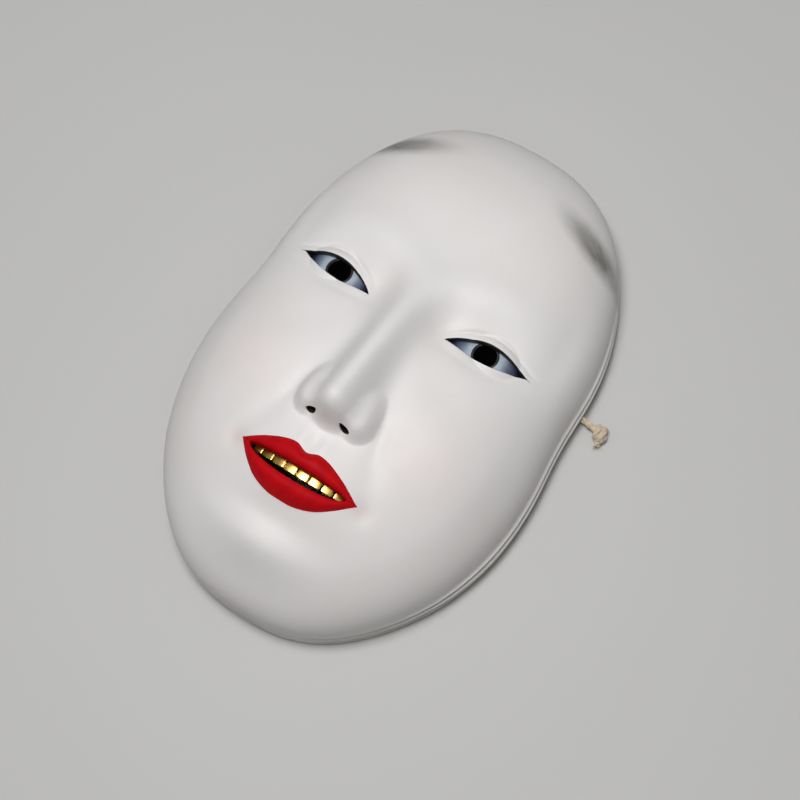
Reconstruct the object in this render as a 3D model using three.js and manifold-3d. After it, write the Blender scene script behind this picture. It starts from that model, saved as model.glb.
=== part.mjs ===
// A noh mask lying face up: carved shell, rim band, two eye plates, a row of gilt upper teeth, head cord.
// In mm, +X to the viewer's right, +Y to the forehead, +Z out of the face. The rim band stands at z = 0.
import * as THREE from "three";
import { mergeVertices } from "three/addons/utils/BufferGeometryUtils.js";
import Module from "manifold-3d";

const wasm = await Module();
wasm.setup();

// Outline of the mask in plan: a superellipse, fuller at the cheeks and slightly pinched at the ears.
const HALF_WIDTH = 68;
const HALF_HEIGHT = 106;
const OUTLINE_POWER = 2.45;

// Side wall and crown.
const WALL_TOP = 15;
const CROWN = 37;
const CROWN_POWER = 3.0;
const SHELL_BASE = 10.8;
const SHELL_WALL = 4.6;
const SHELL_LIP = 1.4;
const FIT_GAP = 0.3;

// Rim band, and the tongue that laps inside the shell's wall.
const BAND_TOP = 10.5;
const BAND_FLARE = 0.8;
const BEAD_REACH = 2.2;
const FOOT_REACH = 1.5;
const TONGUE_TOP = 14.2;
const RABBET = 2.0;
const BEAD_DROP = 2.3;

// Share of the rim's mouldings that is left at the crown and the chin, where they die away.
const MOULDING_LEFT = 0.2;
const BAND_STEPS = 88;

// Eyes: corners of the opening at the right eye, and the round pupil bore in the plate behind it.
const EYE_INNER = [16.4, 12.6];
const EYE_OUTER = [48.6, 17.2];
const EYEBALL = [31.6, 15.2];
const EYEBALL_RADIUS = 19;
const EYEBALL_RISE = 2.4;
const LID_THICKNESS = 2.0;
const EYE_PLATE_THICKNESS = 1.8;
const EYE_PLATE_MARGIN = 2.2;
const EYE_PLATE_GAP = 0.55;
const PUPIL = [31.8, 15.9];
const PUPIL_RADIUS = 4.3;

// Mouth: the parting line, half widths of the lips and of the opening, and the teeth.
const MOUTH_Y = -58.4;
const LIPS_HALF = 24.5;
const PARTING_HALF = 20.5;
const TEETH_SET_BACK = 3.1;
const TEETH_CURVE = 0.0105;
const TOOTH_THICKNESS = 1.5;
const TOOTH_SINK = 0.1;
const TOOTH_BEVEL = 0.35;
const TOOTH_TOP = 6.4;
const TOOTH_BOTTOM = -1.1;
const TOOTH_CENTRES = [2.55, 7.6, 12.5, 17.0];
const TOOTH_WIDTHS = [4.7, 4.7, 4.4, 3.9];
const STRIP_THICKNESS = 1.6;
const STRIP_HALF = 21.4;
const STRIP_GAP = 0.6;
const STRIP_INSET = 1.2;
const POCKET_HALF = 22.0;
const POCKET_DEPTH = 5.0;
const PHILTRUM_Y = -46.4;

// Levels that every cut through the shell starts and ends at, clear of its back and front.
const CUT_LOW = 20;
const CUT_HIGH = 90;

// Nostrils.
const NOSTRIL = [7.1, -37.5];
const NOSTRIL_RADIUS = 1.5;

// Head cord, its bores through the rim band at the temples, and its stopper knots: loose right, tight left.
const CORD_DIAMETER = 2.6;
const CORD_BORE_RADIUS = 1.8;
const CORD_BORE_Y = 26.4;
const CORD_BORE_Z = 4.2;
const CORD_SIDES = 8;
const CORD_STEPS = 54;
const KNOT_RIGHT = [77.0, 25.2, 3.5];
const KNOT_LEFT = [-69.9, 26.4, 3.8];
const KNOT_SIZE = [3.0, 3.2, 3.1];
const TAIL_LENGTH = 4.6;
const CORD_ROUTE = [
  [73.0, 25.7, 3.5],
  [69.8, 26.2, 3.9],
  [66.2, 26.4, 4.2],
  [61.6, 26.6, 4.2],
  [56.6, 27.6, 3.1],
  [51.6, 30.6, 1.8],
  [45.0, 39.0, 1.5],
  [35.0, 52.0, 1.5],
  [21.0, 62.0, 1.5],
  [6.0, 61.0, 1.5],
  [-3.0, 48.0, 1.5],
  [-4.0, 30.0, 1.5],
  [-1.0, 10.0, 1.5],
  [-2.0, -12.0, 1.5],
  [-8.0, -36.0, 1.5],
  [-21.0, -52.0, 1.5],
  [-37.0, -53.0, 1.5],
  [-46.0, -38.0, 1.5],
  [-48.0, -18.0, 1.5],
  [-50.0, 4.0, 1.5],
  [-53.0, 20.0, 2.2],
  [-57.5, 25.7, 3.6],
  [-62.0, 26.4, 4.2],
  [-67.3, 26.4, 4.2],
];

// Colours.
const WHITE = 0xd2cfc9;
const GOLD = 0xc7963a;
const PEARL = 0xb9c3d2;
const DARK = 0x26221f;
const BEIGE = 0xc9b48f;

// ---------------------------------------------------------------- shape functions

const bump = (t, centre, spread) => Math.exp(-(((t - centre) / spread) ** 2));

function spot(x, y, cx, cy, sx, sy, turn = 0) {
  const c = Math.cos((turn * Math.PI) / 180);
  const s = Math.sin((turn * Math.PI) / 180);
  const u = c * (x - cx) + s * (y - cy);
  const v = c * (y - cy) - s * (x - cx);
  return Math.exp(-((u / sx) ** 2) - (v / sy) ** 2);
}

// The same form on both sides of the face.
function pair(x, y, cx, cy, sx, sy, turn = 0) {
  return spot(x, y, cx, cy, sx, sy, turn) + spot(-x, y, cx, cy, sx, sy, turn);
}

function ramp(from, to, t) {
  const k = Math.min(Math.max((t - from) / (to - from), 0), 1);
  return k * k * (3 - 2 * k);
}

// Smooth curve through [place, value] pairs in rising order of place, level at both ends.
function along(points, t) {
  const last = points.length - 1;
  const at = Math.min(Math.max(t, points[0][0]), points[last][0]);
  let i = 0;
  while (i < last - 1 && at > points[i + 1][0]) {
    i += 1;
  }
  const slope = (k) =>
    k === 0 || k === last ? 0 : (points[k + 1][1] - points[k - 1][1]) / (points[k + 1][0] - points[k - 1][0]);
  const span = points[i + 1][0] - points[i][0];
  const s = (at - points[i][0]) / span;
  return (
    (2 * s ** 3 - 3 * s ** 2 + 1) * points[i][1] +
    (s ** 3 - 2 * s ** 2 + s) * span * slope(i) +
    (3 * s ** 2 - 2 * s ** 3) * points[i + 1][1] +
    (s ** 3 - s ** 2) * span * slope(i + 1)
  );
}

const NOSE_RIDGE = [
  [-41.4, 0],
  [-40.0, 1.2],
  [-38.6, 4.4],
  [-37.0, 9.6],
  [-35.2, 13.6],
  [-32.6, 16.0],
  [-29, 16.6],
  [-22, 15.0],
  [-12, 12.0],
  [2, 8.0],
  [16, 4.2],
  [28, 1.6],
  [40, 0],
];
const NOSE_WIDTH = [
  [-42.5, 7.2],
  [-37, 8.6],
  [-31, 9.6],
  [-24, 8.6],
  [-12, 7.6],
  [0, 7.2],
  [16, 7],
  [28, 9.5],
  [40, 12],
];
const UPPER_LIP = [
  [0, 7.4],
  [4.5, 8.8],
  [9, 8.2],
  [16, 5.2],
  [21.5, 2.1],
  [24.5, 0.7],
];
const LOWER_LIP = [
  [0, 11.2],
  [6, 10.9],
  [13, 8.8],
  [19, 5.0],
  [22.6, 2.2],
  [24.5, 0.9],
];

// Wing of the nose: centre, and how far it reaches across, down and up.
const WING = [9.9, -32.4];
const WING_SIZE = [5.4, 6.0, 12.0];
const WING_LEVEL = 1.2;
const WING_HEIGHT = 5.5;

function outlineWidth(y) {
  return 1 + 0.03 * bump(y, -38, 36) - 0.026 * bump(y, 12, 20) - 0.05 * ramp(-60, -110, y);
}

// How far a moulding that stands out by grow does so at height v of the outline, -1 to 1.
function moulding(grow, v) {
  const share = MOULDING_LEFT + (1 - MOULDING_LEFT) * (1 - ramp(0.35, 0.92, Math.abs(v)));
  return grow > 0 ? grow * share : grow;
}

// Distance from the middle as a share of the way to the outline moved outwards by grow.
function reach(x, y, grow = 0) {
  const u = Math.abs(x / ((HALF_WIDTH + grow) * outlineWidth(y)));
  const v = Math.abs(y / (HALF_HEIGHT + grow));
  return (u ** OUTLINE_POWER + v ** OUTLINE_POWER) ** (1 / OUTLINE_POWER);
}

// Soft forms of forehead, cheeks, eye sockets, mouth and chin; both faces of the shell share them.
function softForms(x, y) {
  let h = 4.5 * bump(x, 0, 27) * ramp(-104, -70, y) * (1 - ramp(-5, 50, y));
  h += 1.6 * pair(x, y, 20, 68, 24, 24);
  h += 1.3 * pair(x, y, 28, 37, 19, 9, 6);
  h -= 2.0 * pair(x, y, 58, 34, 11, 20);
  h -= 4.6 * pair(x, y, 30, 19, 17, 11);
  h -= 3.2 * pair(x, y, 14.5, 15, 7, 10);
  h += 3.6 * pair(x, y, 39, -26, 21, 25, 18);
  h += 4.2 * spot(x, y, 0, -57, 25, 16);
  h += 4.2 * spot(x, y, 0, -89, 19, 12);
  return h;
}

// The higher of two forms, with a soft fillet where they meet.
function join(a, b, blend) {
  return Math.max(a, b) + Math.max(blend - Math.abs(a - b), 0) ** 2 / (4 * blend);
}

// Ridge and tip of the nose with a rounded wing on each side.
function nose(x, y) {
  const a = Math.abs(x);
  const raised = 3.2 * (1 - Math.exp(-((a / 11) ** 2)));
  const ridge = along(NOSE_RIDGE, y - raised) * Math.exp(-((a / along(NOSE_WIDTH, y)) ** 2.3));
  const u = (a - WING[0]) / WING_SIZE[0];
  const v = (y - WING[1]) / (y < WING[1] ? WING_SIZE[1] : WING_SIZE[2]);
  const wing = WING_LEVEL + WING_HEIGHT * (1 - Math.hypot(u, v) ** 3);
  return join(ridge + 0.8 * spot(x, y, 0, -31.4, 6.0, 4.6), wing, 6.5);
}

// Finer forms of the front only.
function fineForms(x, y) {
  let h = nose(x, y) - 1.2 * pair(x, y, 7.1, -37.4, 2.4, 1.3, -10);
  h -= 0.8 * pair(x, y, 18.6, -32, 2.6, 6.5, 12);
  h -= 0.9 * pair(x, y, 26, -4, 14, 9, -25);
  h -= 2.4 * spot(x, y, 0, -75.5, 19, 6.5);
  h -= 1.1 * pair(x, y, 26.6, -57.6, 4.2, 4.4);
  h -= 0.9 * pair(x, y, 22.5, -43, 5.0, 12, 24);
  h -= 1.0 * spot(x, y, 0, -46, 2.8, 4.4);
  h += 0.4 * pair(x, y, 4.6, -46, 2.2, 4.4);
  return h;
}

function crown(r, height) {
  return WALL_TOP + height * Math.sqrt(Math.max(1 - Math.min(r, 1) ** CROWN_POWER, 0));
}

function frontWithoutEyes(x, y) {
  const r = reach(x, y);
  const fade = 1 - ramp(0.8, 0.97, r);
  return crown(r, CROWN) + (softForms(x, y) + fineForms(x, y)) * fade;
}

const EYEBALL_Z = frontWithoutEyes(...EYEBALL) + EYEBALL_RISE - EYEBALL_RADIUS;

// The front with the eyeballs swelling under the lids.
function frontWithEyes(x, y) {
  const base = frontWithoutEyes(x, y);
  const d = Math.hypot(Math.abs(x) - EYEBALL[0], y - EYEBALL[1]);
  if (d > EYEBALL_RADIUS * 0.97) {
    return base;
  }
  const blend = 1.6;
  const ball = EYEBALL_Z + Math.sqrt(EYEBALL_RADIUS ** 2 - d ** 2);
  const share = Math.exp(-Math.abs(ball - base) / blend);
  return Math.max(ball, base) + blend * (Math.log1p(share) - Math.LN2 * share);
}

// Lower and upper edge of the eye opening, at distance a from the middle of the face.
function lids(a) {
  const s = Math.min(Math.max((a - EYE_INNER[0]) / (EYE_OUTER[0] - EYE_INNER[0]), 0), 1);
  const chord = EYE_INNER[1] + (EYE_OUTER[1] - EYE_INNER[1]) * s;
  return {
    low: chord - 3.1 * Math.sin(Math.PI * s ** 1.2),
    high: chord + 4.9 * Math.sin(Math.PI * s ** 0.84) ** 0.95,
  };
}

// Borders of the lips and of the parting between them.
function mouth(x) {
  const a = Math.min(Math.abs(x), LIPS_HALF);
  const line = MOUTH_Y + 1.6 * (a / LIPS_HALF) ** 2;
  const open = Math.sqrt(Math.max(1 - Math.min(a / PARTING_HALF, 1) ** 2.2, 0));
  const corner = Math.sqrt(1 - (a / LIPS_HALF) ** 14);
  return {
    line,
    top: line + along(UPPER_LIP, a) * corner,
    partingTop: line + 2.0 * open,
    partingBottom: line - 3.7 * open,
    bottom: line - along(LOWER_LIP, a) * corner,
  };
}

function lidForms(x, y) {
  const a = Math.abs(x);
  const { low, high } = lids(a);
  const s = (a - EYE_INNER[0]) / (EYE_OUTER[0] - EYE_INNER[0]);
  const inside = ramp(-0.08, 0.12, s) * (1 - ramp(0.98, 1.16, s));
  const arch = Math.sin(Math.PI * Math.min(Math.max(s, 0), 1));
  return inside * (-0.7 * bump(y, high + 2.6 + 0.9 * arch, 0.85) - 0.25 * bump(y, low - 3.4, 1.6));
}

function lipForms(x, y) {
  const a = Math.abs(x);
  if (a >= LIPS_HALF) {
    return 0;
  }
  const m = mouth(x);
  const full = (1 - (a / LIPS_HALF) ** 2.4) ** 0.6;
  const swell = (v, crest) =>
    1 - Math.max(1 - v / crest, 0) ** 2.2 - 0.5 * Math.max((v - crest) / (1 - crest), 0) ** 2;
  const clamp = (v) => Math.min(Math.max(v, 0), 1);
  if (y >= (m.partingTop + m.partingBottom) / 2) {
    return 2.2 * full * swell(clamp((m.top - y) / Math.max(m.top - m.partingTop, 1e-3)), 0.66);
  }
  return 2.8 * full * swell(clamp((y - m.bottom) / Math.max(m.partingBottom - m.bottom, 1e-3)), 0.6);
}

const front = (x, y) => frontWithEyes(x, y) + lidForms(x, y) + lipForms(x, y);

// The hollow side of the shell, carved plainer than the front.
function back(x, y) {
  const r = reach(x, y, -SHELL_WALL);
  const fade = 1 - ramp(0.8, 0.97, r);
  const noseHollow = 0.66 * along(NOSE_RIDGE, y - 4) * bump(x, 0, 9);
  return crown(r, CROWN - SHELL_WALL) + (softForms(x, y) + noseHollow) * fade;
}

// ---------------------------------------------------------------- solids

function toSolid(geometry) {
  const bare = geometry.clone();
  bare.deleteAttribute("normal");
  bare.deleteAttribute("uv");
  const merged = mergeVertices(bare, 1e-4);
  return new wasm.Manifold(
    new wasm.Mesh({
      numProp: 3,
      vertProperties: new Float32Array(merged.attributes.position.array),
      triVerts: new Uint32Array(merged.index.array),
    }),
  );
}

function toGeometry(solid) {
  const mesh = solid.getMesh();
  const geometry = new THREE.BufferGeometry();
  geometry.setAttribute("position", new THREE.BufferAttribute(new Float32Array(mesh.vertProperties), 3));
  geometry.setIndex(new THREE.BufferAttribute(new Uint32Array(mesh.triVerts), 1));
  return geometry;
}

function geometryOf(points, triangles) {
  const geometry = new THREE.BufferGeometry();
  geometry.setAttribute("position", new THREE.Float32BufferAttribute(points.flat(), 3));
  geometry.setIndex(triangles.flat());
  return geometry;
}

// Closed mesh of rings of equal length; each ring is a list of points running anticlockwise seen from above,
// the rings follow one another outwards over the top and the last is joined to the first.
function ringSolid(rings) {
  const n = rings[0].length;
  const triangles = [];
  rings.forEach((_, k) => {
    const next = (k + 1) % rings.length;
    for (let i = 0; i < n; i += 1) {
      const j = (i + 1) % n;
      triangles.push([k * n + i, next * n + i, next * n + j]);
      triangles.push([k * n + i, next * n + j, k * n + j]);
    }
  });
  return geometryOf(rings.flat(), triangles);
}

// Grid lines: evenly spaced between the listed places, then closing up towards +-1 at both ends.
function gridLines(places, edgeLines) {
  const first = places[0][0];
  const lines = [];
  for (let k = 0; k < edgeLines; k += 1) {
    lines.push(first - (1 + first) * Math.sin((Math.PI / 2) * (1 - k / edgeLines)));
  }
  for (let i = 0; i < places.length - 1; i += 1) {
    const [from, count] = places[i];
    const to = places[i + 1][0];
    for (let k = 0; k < count; k += 1) {
      lines.push(from + ((to - from) * k) / count);
    }
  }
  const last = places[places.length - 1][0];
  for (let k = 0; k <= edgeLines; k += 1) {
    lines.push(last + (1 - last) * Math.sin((Math.PI / 2) * (k / edgeLines)));
  }
  return lines;
}

// Plan point of grid place (p, q), both from -1 to 1: square in the middle, on the outline at the edge.
function planPoint(p, q, grow) {
  const m = Math.max(Math.abs(p), Math.abs(q));
  if (m === 0) {
    return [0, 0];
  }
  const norm = (Math.abs(p / m) ** OUTLINE_POWER + Math.abs(q / m) ** OUTLINE_POWER) ** (1 / OUTLINE_POWER);
  const pull = 1 + (1 / norm - 1) * ramp(0.3, 1, m) ** 0.8;
  const out = moulding(grow, q * pull);
  const y = q * pull * (HALF_HEIGHT + out);
  return [p * pull * (HALF_WIDTH + out) * outlineWidth(y), y];
}

// Solid under a height function: its grid, side walls given as [grow, z] steps down, and a flat bottom.
function reliefSolid(height, columns, rows, grow, wallSteps) {
  const points = [];
  const triangles = [];
  const w = columns.length;
  rows.forEach((q) => {
    columns.forEach((p) => {
      const [x, y] = planPoint(p, q, grow);
      points.push([x, y, height(x, y)]);
    });
  });
  for (let j = 0; j < rows.length - 1; j += 1) {
    for (let i = 0; i < w - 1; i += 1) {
      const k = j * w + i;
      const flip = columns[i] + columns[i + 1] > 0 === rows[j] + rows[j + 1] > 0;
      if (flip) {
        triangles.push([k, k + 1, k + w], [k + 1, k + w + 1, k + w]);
      } else {
        triangles.push([k, k + 1, k + w + 1], [k, k + w + 1, k + w]);
      }
    }
  }
  const edge = [];
  for (let i = 0; i < w - 1; i += 1) {
    edge.push([i, columns[i], rows[0]]);
  }
  for (let j = 0; j < rows.length - 1; j += 1) {
    edge.push([j * w + w - 1, 1, rows[j]]);
  }
  for (let i = w - 1; i > 0; i -= 1) {
    edge.push([(rows.length - 1) * w + i, columns[i], 1]);
  }
  for (let j = rows.length - 1; j > 0; j -= 1) {
    edge.push([j * w, -1, rows[j]]);
  }
  let ring = edge.map((e) => e[0]);
  wallSteps.forEach(([stepGrow, z]) => {
    const start = points.length;
    edge.forEach(([, p, q]) => {
      points.push([...planPoint(p, q, grow + stepGrow), z]);
    });
    ring.forEach((from, i) => {
      const j = (i + 1) % ring.length;
      triangles.push([from, start + i, start + j], [from, start + j, ring[j]]);
    });
    ring = edge.map((_, i) => start + i);
  });
  const centre = points.length;
  points.push([0, 0, wallSteps[wallSteps.length - 1][1]]);
  ring.forEach((from, i) => {
    triangles.push([centre, ring[(i + 1) % ring.length], from]);
  });
  return toSolid(geometryOf(points, triangles));
}

// Upright block over a plan outline, its top following a height function.
function pocketSolid(outline, centre, top, bottom) {
  const rings = [1, 0.82, 0.62, 0.4, 0.2].map((k) =>
    outline.map(([x, y]) => [centre[0] + (x - centre[0]) * k, centre[1] + (y - centre[1]) * k]),
  );
  const n = outline.length;
  const points = [];
  const triangles = [];
  outline.forEach(([x, y]) => points.push([x, y, bottom]));
  rings.forEach((ring) => ring.forEach(([x, y]) => points.push([x, y, top(x, y)])));
  for (let k = 0; k < rings.length; k += 1) {
    for (let i = 0; i < n; i += 1) {
      const j = (i + 1) % n;
      triangles.push([k * n + i, k * n + j, (k + 1) * n + j], [k * n + i, (k + 1) * n + j, (k + 1) * n + i]);
    }
  }
  const crest = points.length;
  points.push([...centre, top(...centre)], [...centre, bottom]);
  for (let i = 0; i < n; i += 1) {
    const j = (i + 1) % n;
    triangles.push([rings.length * n + i, rings.length * n + j, crest]);
    triangles.push([j, i, crest + 1]);
  }
  return toSolid(geometryOf(points, triangles));
}

function cylinderBetween(from, to, radius, sides) {
  const start = new THREE.Vector3(...from);
  const end = new THREE.Vector3(...to);
  const axis = end.clone().sub(start);
  const geometry = new THREE.CylinderGeometry(radius, radius, axis.length(), sides);
  const upright = new THREE.Vector3(0, 1, 0);
  const turn = new THREE.Quaternion().setFromUnitVectors(upright, axis.clone().normalize());
  geometry.applyQuaternion(turn);
  geometry.translate(...start.add(end).multiplyScalar(0.5).toArray());
  return geometry;
}

// ---------------------------------------------------------------- eyes

// Edge of the eye opening on one side of the face, anticlockwise, moved outwards by grow.
function eyeOutline(side, grow, steps) {
  const edge = [];
  for (let i = 0; i < steps; i += 1) {
    const s = 0.5 - 0.5 * Math.cos((Math.PI * i) / steps);
    const a = EYE_INNER[0] + (EYE_OUTER[0] - EYE_INNER[0]) * s;
    edge.push([a, lids(a).low]);
  }
  for (let i = steps; i > 0; i -= 1) {
    const s = 0.5 - 0.5 * Math.cos((Math.PI * i) / steps);
    const a = EYE_INNER[0] + (EYE_OUTER[0] - EYE_INNER[0]) * s;
    edge.push([a, lids(a).high]);
  }
  const n = edge.length;
  const grown = edge.map(([x, y], i) => {
    const before = edge[(i + n - 1) % n];
    const after = edge[(i + 1) % n];
    const tangent = new THREE.Vector2(after[0] - before[0], after[1] - before[1]).normalize();
    return [x + tangent.y * grow, y - tangent.x * grow];
  });
  return side > 0 ? grown : grown.map(([x, y]) => [-x, y]).reverse();
}

const eyeCentre = (side) => [side * PUPIL[0], PUPIL[1]];
const plateFront = (x, y) => frontWithEyes(x, y) - LID_THICKNESS - EYE_PLATE_GAP;

function eyeOpening(side) {
  return pocketSolid(eyeOutline(side, 0, 14), eyeCentre(side), () => CUT_HIGH, CUT_LOW);
}

function eyePocket(side) {
  const outline = eyeOutline(side, EYE_PLATE_MARGIN + EYE_PLATE_GAP, 12);
  return pocketSolid(outline, eyeCentre(side), (x, y) => frontWithEyes(x, y) - LID_THICKNESS, CUT_LOW);
}

// Curved plate behind the lids with the round pupil bore through it.
function eyePlate(side) {
  const outline = eyeOutline(side, EYE_PLATE_MARGIN, 12);
  const [cx, cy] = eyeCentre(side);
  const rim = outline.map(([x, y]) => {
    const angle = Math.atan2(y - cy, x - cx);
    return [cx + PUPIL_RADIUS * Math.cos(angle), cy + PUPIL_RADIUS * Math.sin(angle)];
  });
  const shares = [0, 0.2, 0.45, 0.72, 1];
  const ringAt = (share, drop) =>
    outline.map(([x, y], i) => {
      const px = rim[i][0] + (x - rim[i][0]) * share;
      const py = rim[i][1] + (y - rim[i][1]) * share;
      return [px, py, plateFront(px, py) - drop];
    });
  const top = shares.map((share) => ringAt(share, 0));
  const under = shares.map((share) => ringAt(share, EYE_PLATE_THICKNESS)).reverse();
  return ringSolid([...top, ...under]);
}

// ---------------------------------------------------------------- mouth

// Front of the teeth: an even curve across the mouth, set back from the hollow above the upper lip.
const TEETH_Z = front(0, PHILTRUM_Y) - TEETH_SET_BACK;
const teethFront = (x) => TEETH_Z - TEETH_CURVE * x * x;

function mouthOutline(half, topOf, bottomOf, steps) {
  const edge = [];
  for (let i = 0; i <= steps; i += 1) {
    const x = -half * Math.cos((Math.PI * i) / steps);
    edge.push([x, bottomOf(x)]);
  }
  for (let i = steps; i >= 0; i -= 1) {
    const x = -half * Math.cos((Math.PI * i) / steps);
    edge.push([x, topOf(x)]);
  }
  return edge;
}

function mouthOpening() {
  const half = PARTING_HALF - 0.05;
  const outline = mouthOutline(half, (x) => mouth(x).partingTop, (x) => mouth(x).partingBottom, 20);
  return pocketSolid(outline, [0, MOUTH_Y - 0.8], () => CUT_HIGH, CUT_LOW);
}

function mouthPocket() {
  const lineAt = (x) => mouth(x).line;
  const high = TOOTH_TOP + FIT_GAP;
  const outline = mouthOutline(POCKET_HALF, (x) => lineAt(x) + high, (x) => lineAt(x) - POCKET_DEPTH, 14);
  return pocketSolid(outline, [0, MOUTH_Y + 0.8], (x) => teethFront(x) + FIT_GAP, CUT_LOW);
}

function bevelledPlate(width, height, thickness, bevel) {
  const shape = new THREE.Shape();
  const w = width / 2 - bevel;
  const h = height / 2 - bevel;
  shape.moveTo(-w, -h);
  shape.lineTo(w, -h);
  shape.lineTo(w, h);
  shape.lineTo(-w, h);
  shape.closePath();
  const geometry = new THREE.ExtrudeGeometry(shape, {
    depth: thickness - 2 * bevel,
    bevelEnabled: true,
    bevelSize: bevel,
    bevelThickness: bevel,
    bevelSegments: 2,
    steps: 1,
  });
  geometry.translate(0, 0, bevel - thickness / 2);
  return geometry;
}

// One gilt tooth, turned to follow the curve of the row.
function tooth(index, side) {
  const x = side * TOOTH_CENTRES[index];
  const height = TOOTH_TOP - TOOTH_BOTTOM;
  const geometry = bevelledPlate(TOOTH_WIDTHS[index], height, TOOTH_THICKNESS, TOOTH_BEVEL);
  geometry.rotateY(Math.atan(2 * TEETH_CURVE * x));
  const y = mouth(x).line + (TOOTH_TOP + TOOTH_BOTTOM) / 2;
  geometry.translate(x, y, teethFront(x) - TOOTH_THICKNESS / 2 - TOOTH_SINK);
  return geometry;
}

// Curved strip the teeth are set on.
function toothStrip() {
  const steps = 16;
  const ribbon = new THREE.Shape();
  const frontEdge = [];
  const backEdge = [];
  for (let i = 0; i <= steps; i += 1) {
    const x = STRIP_HALF * ((2 * i) / steps - 1);
    const z = teethFront(x) - TOOTH_THICKNESS - STRIP_GAP;
    frontEdge.push([x, z]);
    backEdge.push([x, z - STRIP_THICKNESS]);
  }
  const edge = [...frontEdge, ...backEdge.reverse()];
  edge.forEach(([x, z], i) => (i === 0 ? ribbon.moveTo(x, -z) : ribbon.lineTo(x, -z)));
  ribbon.closePath();
  const height = TOOTH_TOP - TOOTH_BOTTOM - STRIP_INSET;
  const geometry = new THREE.ExtrudeGeometry(ribbon, { depth: height, bevelEnabled: false, steps: 1 });
  geometry.rotateX(-Math.PI / 2);
  geometry.translate(0, MOUTH_Y + TOOTH_TOP - height, 0);
  return geometry;
}

// ---------------------------------------------------------------- shell, band, cord

function nostril(side) {
  const [a, y] = NOSTRIL;
  const z = front(side * a, y);
  const from = [side * a * 1.15, y - 4.5, z + 3.4];
  const to = [side * a * 0.8, y + 10.5, z - 11];
  return toSolid(cylinderBetween(from, to, NOSTRIL_RADIUS, 20));
}

// Foot of the shell's wall as [grow, z] steps down: a cove that turns out into a lip.
const SHELL_FOOT = [
  [0, 14.4],
  [0.28, 12.95],
  [SHELL_LIP - 0.2, 12.02],
  [SHELL_LIP, 11.6],
  [SHELL_LIP, 11.2],
  [SHELL_LIP - 0.4, SHELL_BASE],
];

function faceShell() {
  const columns = gridLines([[-0.73, 30], [0.73, 0]], 5);
  const rows = gridLines([[-0.86, 4], [-0.7, 13], [-0.45, 13], [0.07, 9], [0.26, 6], [0.5, 5], [0.84, 0]], 5);
  const outer = reliefSolid(front, columns, rows, 0, SHELL_FOOT);
  const innerColumns = gridLines([[-0.75, 12], [0.75, 0]], 4);
  const innerRows = gridLines([[-0.85, 5], [-0.45, 7], [0.07, 7], [0.4, 4], [0.84, 0]], 4);
  const inner = reliefSolid(back, innerColumns, innerRows, -SHELL_WALL, [[0, 5]]);
  const rabbetTop = TONGUE_TOP + FIT_GAP;
  const rabbetOutline = outlineRing(-RABBET, BAND_STEPS);
  const rabbet = pocketSolid(rabbetOutline, [0, 0], () => rabbetTop, 5);
  let shell = outer.subtract(inner).subtract(rabbet);
  [1, -1].forEach((side) => {
    shell = shell.subtract(eyeOpening(side)).subtract(eyePocket(side)).subtract(nostril(side));
  });
  return toGeometry(shell.subtract(mouthPocket()).subtract(mouthOpening()));
}

// The outline in plan moved outwards by grow, anticlockwise.
function outlineRing(grow, steps) {
  const ring = [];
  for (let i = 0; i < steps; i += 1) {
    const turn = (2 * Math.PI * i) / steps;
    const c = Math.cos(turn);
    const s = Math.sin(turn);
    const v = Math.sign(s) * Math.abs(s) ** (2 / OUTLINE_POWER);
    const out = moulding(grow, v);
    const y = v * (HALF_HEIGHT + out);
    const x = Math.sign(c) * Math.abs(c) ** (2 / OUTLINE_POWER) * (HALF_WIDTH + out) * outlineWidth(y);
    ring.push([x, y]);
  }
  return ring;
}

// Half-round bead on the band's outside as [grow, z] pairs, top first. It swells from the grow of the band's
// body out to reachOut, around the level middle.
function bead(reachOut, middle, radius, body) {
  return [75, 38, 0, -38, -75].map((degrees) => {
    const angle = (degrees * Math.PI) / 180;
    return [body + (reachOut - body) * Math.cos(angle), middle + radius * Math.sin(angle)];
  });
}

// Section of the rim band as [grow, z] pairs: up the hollow side, over the top and down the outside.
function bandSection() {
  const inside = -SHELL_WALL;
  const upper = BAND_TOP - BEAD_DROP;
  return [
    [inside, 0],
    [inside, TONGUE_TOP],
    [-RABBET - FIT_GAP, TONGUE_TOP],
    [-RABBET - FIT_GAP, BAND_TOP],
    [0, BAND_TOP],
    [0.3, BAND_TOP - 0.7],
    ...bead(BEAD_REACH, upper, 0.75, BAND_FLARE - 0.3),
    [BAND_FLARE - 0.5, upper - 1.1],
    [BAND_FLARE, upper - 1.9],
    [BAND_FLARE, 3.5],
    [BAND_FLARE - 0.4, 3.0],
    ...bead(FOOT_REACH, 1.7, 0.95, BAND_FLARE),
    [BAND_FLARE - 0.2, 0.4],
    [BAND_FLARE - 0.5, 0],
  ];
}

function rimBand() {
  const rings = bandSection().map(([grow, z]) => outlineRing(grow, BAND_STEPS).map(([x, y]) => [x, y, z]));
  const bore = toSolid(
    cylinderBetween([-90, CORD_BORE_Y, CORD_BORE_Z], [90, CORD_BORE_Y, CORD_BORE_Z], CORD_BORE_RADIUS, 20),
  );
  return toGeometry(toSolid(ringSolid(rings)).subtract(bore));
}

function headCord() {
  const points = CORD_ROUTE.map((p) => new THREE.Vector3(...p));
  const route = new THREE.CatmullRomCurve3(points, false, "centripetal");
  const shape = new THREE.Shape();
  for (let i = 0; i < CORD_SIDES; i += 1) {
    const turn = (2 * Math.PI * i) / CORD_SIDES;
    const x = (CORD_DIAMETER / 2) * Math.cos(turn);
    const y = (CORD_DIAMETER / 2) * Math.sin(turn);
    if (i === 0) {
      shape.moveTo(x, y);
    } else {
      shape.lineTo(x, y);
    }
  }
  shape.closePath();
  return new THREE.ExtrudeGeometry(shape, { steps: CORD_STEPS, extrudePath: route, bevelEnabled: false });
}

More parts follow.
